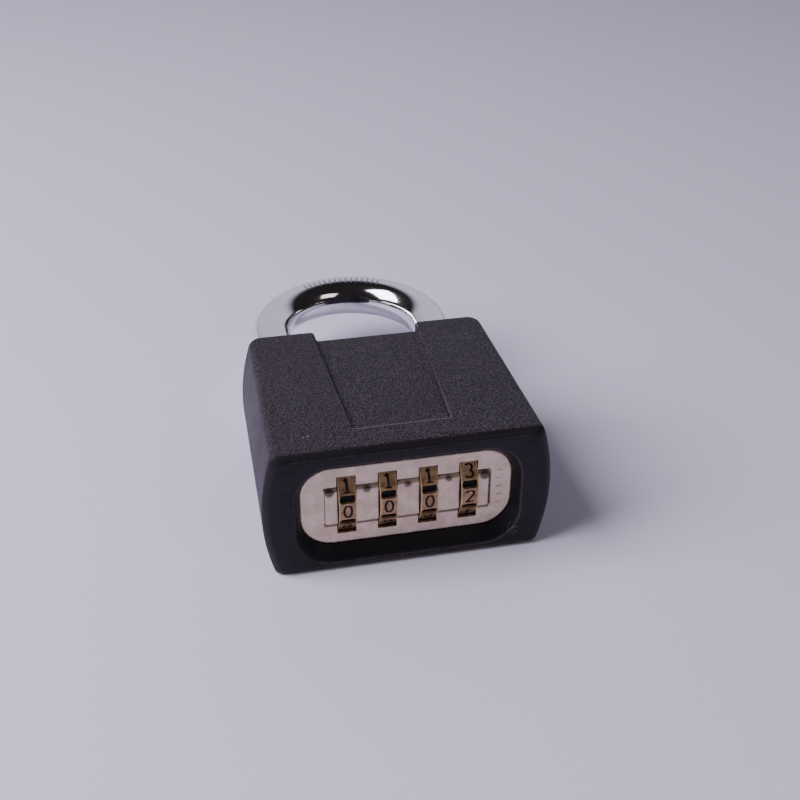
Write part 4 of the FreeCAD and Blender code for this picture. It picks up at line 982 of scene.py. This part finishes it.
# steel at the bottom of a rolled mark, where the chrome is thin, is dull and dark
mark_steel = worked_metal("rolled_mark_steel", (0.5, 3.0), (0.24, 0.22, 0.23), (0.70, 0.68, 0.69),
                          (0.28, 0.45), 0.02)
marks = crown_marks().build("crown_marks", sharp=60.0)
marks.data.materials.append(mark_steel)
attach(marks, "shackle")

# ---- Springs, spindle and lockwork ---------------------------------------------------------------
# The parts that work inside the casting keep their machined shapes. Springs and clips are drawn
# wire, the spindle and bolts are ground steel, the carrier and locking bar are as-cast zinc, and the
# tumblers are turned brass.


def dress_nodes(material, names):
    """Gives the named CAD nodes this material in place of their plain one."""
    for name in names:
        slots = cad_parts[name].data.materials
        slots.clear()
        slots.append(material)


ground_steel = worked_metal("ground_steel", (0.25, 3.0), (0.40, 0.40, 0.42), (0.56, 0.56, 0.58),
                            (0.24, 0.38), 0.008)
spring_wire = worked_metal("drawn_spring_wire", (0.6, 3.0), (0.22, 0.21, 0.21), (0.42, 0.40, 0.38),
                           (0.25, 0.42), 0.006)
raw_zinc = worked_metal("as_cast_zinc", (2.2, 4.0, 0.65), (0.30, 0.30, 0.31), (0.47, 0.47, 0.48),
                        (0.42, 0.6), 0.03, metallic=0.85)
turned_brass = worked_metal("turned_brass", (0.3, 3.0), (0.55, 0.38, 0.15), (0.72, 0.53, 0.24),
                            (0.22, 0.36), 0.01)
dress_nodes(ground_steel, ["dial_spindle", "locking_bolt_left", "locking_bolt_right"])
dress_nodes(spring_wire, ["spindle_clips", "click_spring", "shackle_spring", "bar_spring_left",
                          "bar_spring_right", "stack_spring"])
dress_nodes(raw_zinc, ["dial_carrier", "locking_bar"])
dress_nodes(turned_brass, ["tumbler_%d" % number for number in range(1, 5)])
dress_nodes(pin_coat, ["shackle_stop_pin"])

# ---- Table, light and camera ---------------------------------------------------------------------
# The padlock lies on its back on a pale lavender-grey sheet, lit by two soft boxes.


def paper():
    """Matt pale paper with a very faint tooth."""
    sheet = Nodes("pale_paper")
    tooth = sheet.noise(1.5, 3.0)
    colour = sheet.mix(tooth, (0.765, 0.715, 0.900), (0.795, 0.745, 0.930))
    return sheet.finish(colour, sheet.ramp(tooth, 0.3, 0.7, 0.72, 0.8), sheet.bump(tooth, 0.02))


patches = Patches()
corner = np.array([[-2500.0, 2500.0], [-2500.0, 2500.0]])
patches.add(np.stack([corner, corner.T, 0 * corner - 0.02], -1))
table = patches.build("table")
table.data.materials.append(paper())


def soft_box(name, place, target, size, power, colour):
    """A rectangular area light at a place in metres, facing a target, with its power in watts."""
    light = bpy.data.lights.new(name, "AREA")
    light.shape = "RECTANGLE"
    light.size, light.size_y = size
    light.energy = power
    light.color = colour
    lamp = bpy.data.objects.new(name, light)
    lamp.location = place
    lamp.rotation_euler = (Vector(target) - Vector(place)).to_track_quat("-Z", "Y").to_euler()
    bpy.context.scene.collection.objects.link(lamp)


soft_box("left_soft_box", (-0.44, -0.04, 0.43), (0, 0, 0), (0.40, 0.48), 5.6, (0.98, 0.95, 1.04))
soft_box("right_soft_box", (0.28, -0.40, 0.36), (0, 0, 0), (0.26, 0.20), 0.36, (1.0, 0.94, 0.86))


def studio():
    """A dim room with a pale lavender backdrop behind the table.

    The backdrop fades out with the direction's share along (0.25, 1, 0)."""
    world = bpy.data.worlds.new("studio")
    world.use_nodes = True
    tree = world.node_tree
    towards = tree.nodes.new("ShaderNodeVectorMath")
    towards.operation = "DOT_PRODUCT"
    towards.inputs[1].default_value = (0.25, 1.0, 0.0)
    tree.links.new(tree.nodes.new("ShaderNodeTexCoord").outputs["Generated"], towards.inputs[0])
    fade = tree.nodes.new("ShaderNodeMapRange")
    fade.interpolation_type = "SMOOTHSTEP"
    fade.inputs["From Min"].default_value = 0.50
    fade.inputs["From Max"].default_value = 0.82
    tree.links.new(towards.outputs["Value"], fade.inputs["Value"])
    blend = tree.nodes.new("ShaderNodeMix")
    blend.data_type = "RGBA"
    blend.inputs["A"].default_value = (0.020, 0.016, 0.019, 1.0)
    blend.inputs["B"].default_value = (0.66, 0.65, 0.80, 1.0)
    tree.links.new(fade.outputs["Result"], blend.inputs["Factor"])
    tree.links.new(blend.outputs["Result"], tree.nodes["Background"].inputs["Color"])
    return world


bpy.context.scene.world = studio()

AZIMUTH = math.radians(-12.546)
ELEVATION = math.radians(32.615)
ROLL = math.radians(0.434)
AIM = Vector((5.361, -7.403, 12.0)) * MM
DISTANCE = 244.39 * MM
flat_reach = math.cos(ELEVATION)
back = Vector((math.sin(AZIMUTH) * flat_reach, -math.cos(AZIMUTH) * flat_reach, math.sin(ELEVATION)))
level = Vector((0, 0, 1)).cross(back).normalized()
upright = back.cross(level)
right = math.cos(ROLL) * level + math.sin(ROLL) * upright
up = math.cos(ROLL) * upright - math.sin(ROLL) * level
lens = bpy.data.cameras.new("camera")
lens.sensor_width = 36.0
lens.lens = 57.74
lens.clip_start = 0.01
camera = bpy.data.objects.new("camera", lens)
facing = Matrix((right, up, back)).transposed().to_4x4()
camera.matrix_world = Matrix.Translation(AIM + back * DISTANCE) @ facing
bpy.context.scene.collection.objects.link(camera)
bpy.context.scene.camera = camera
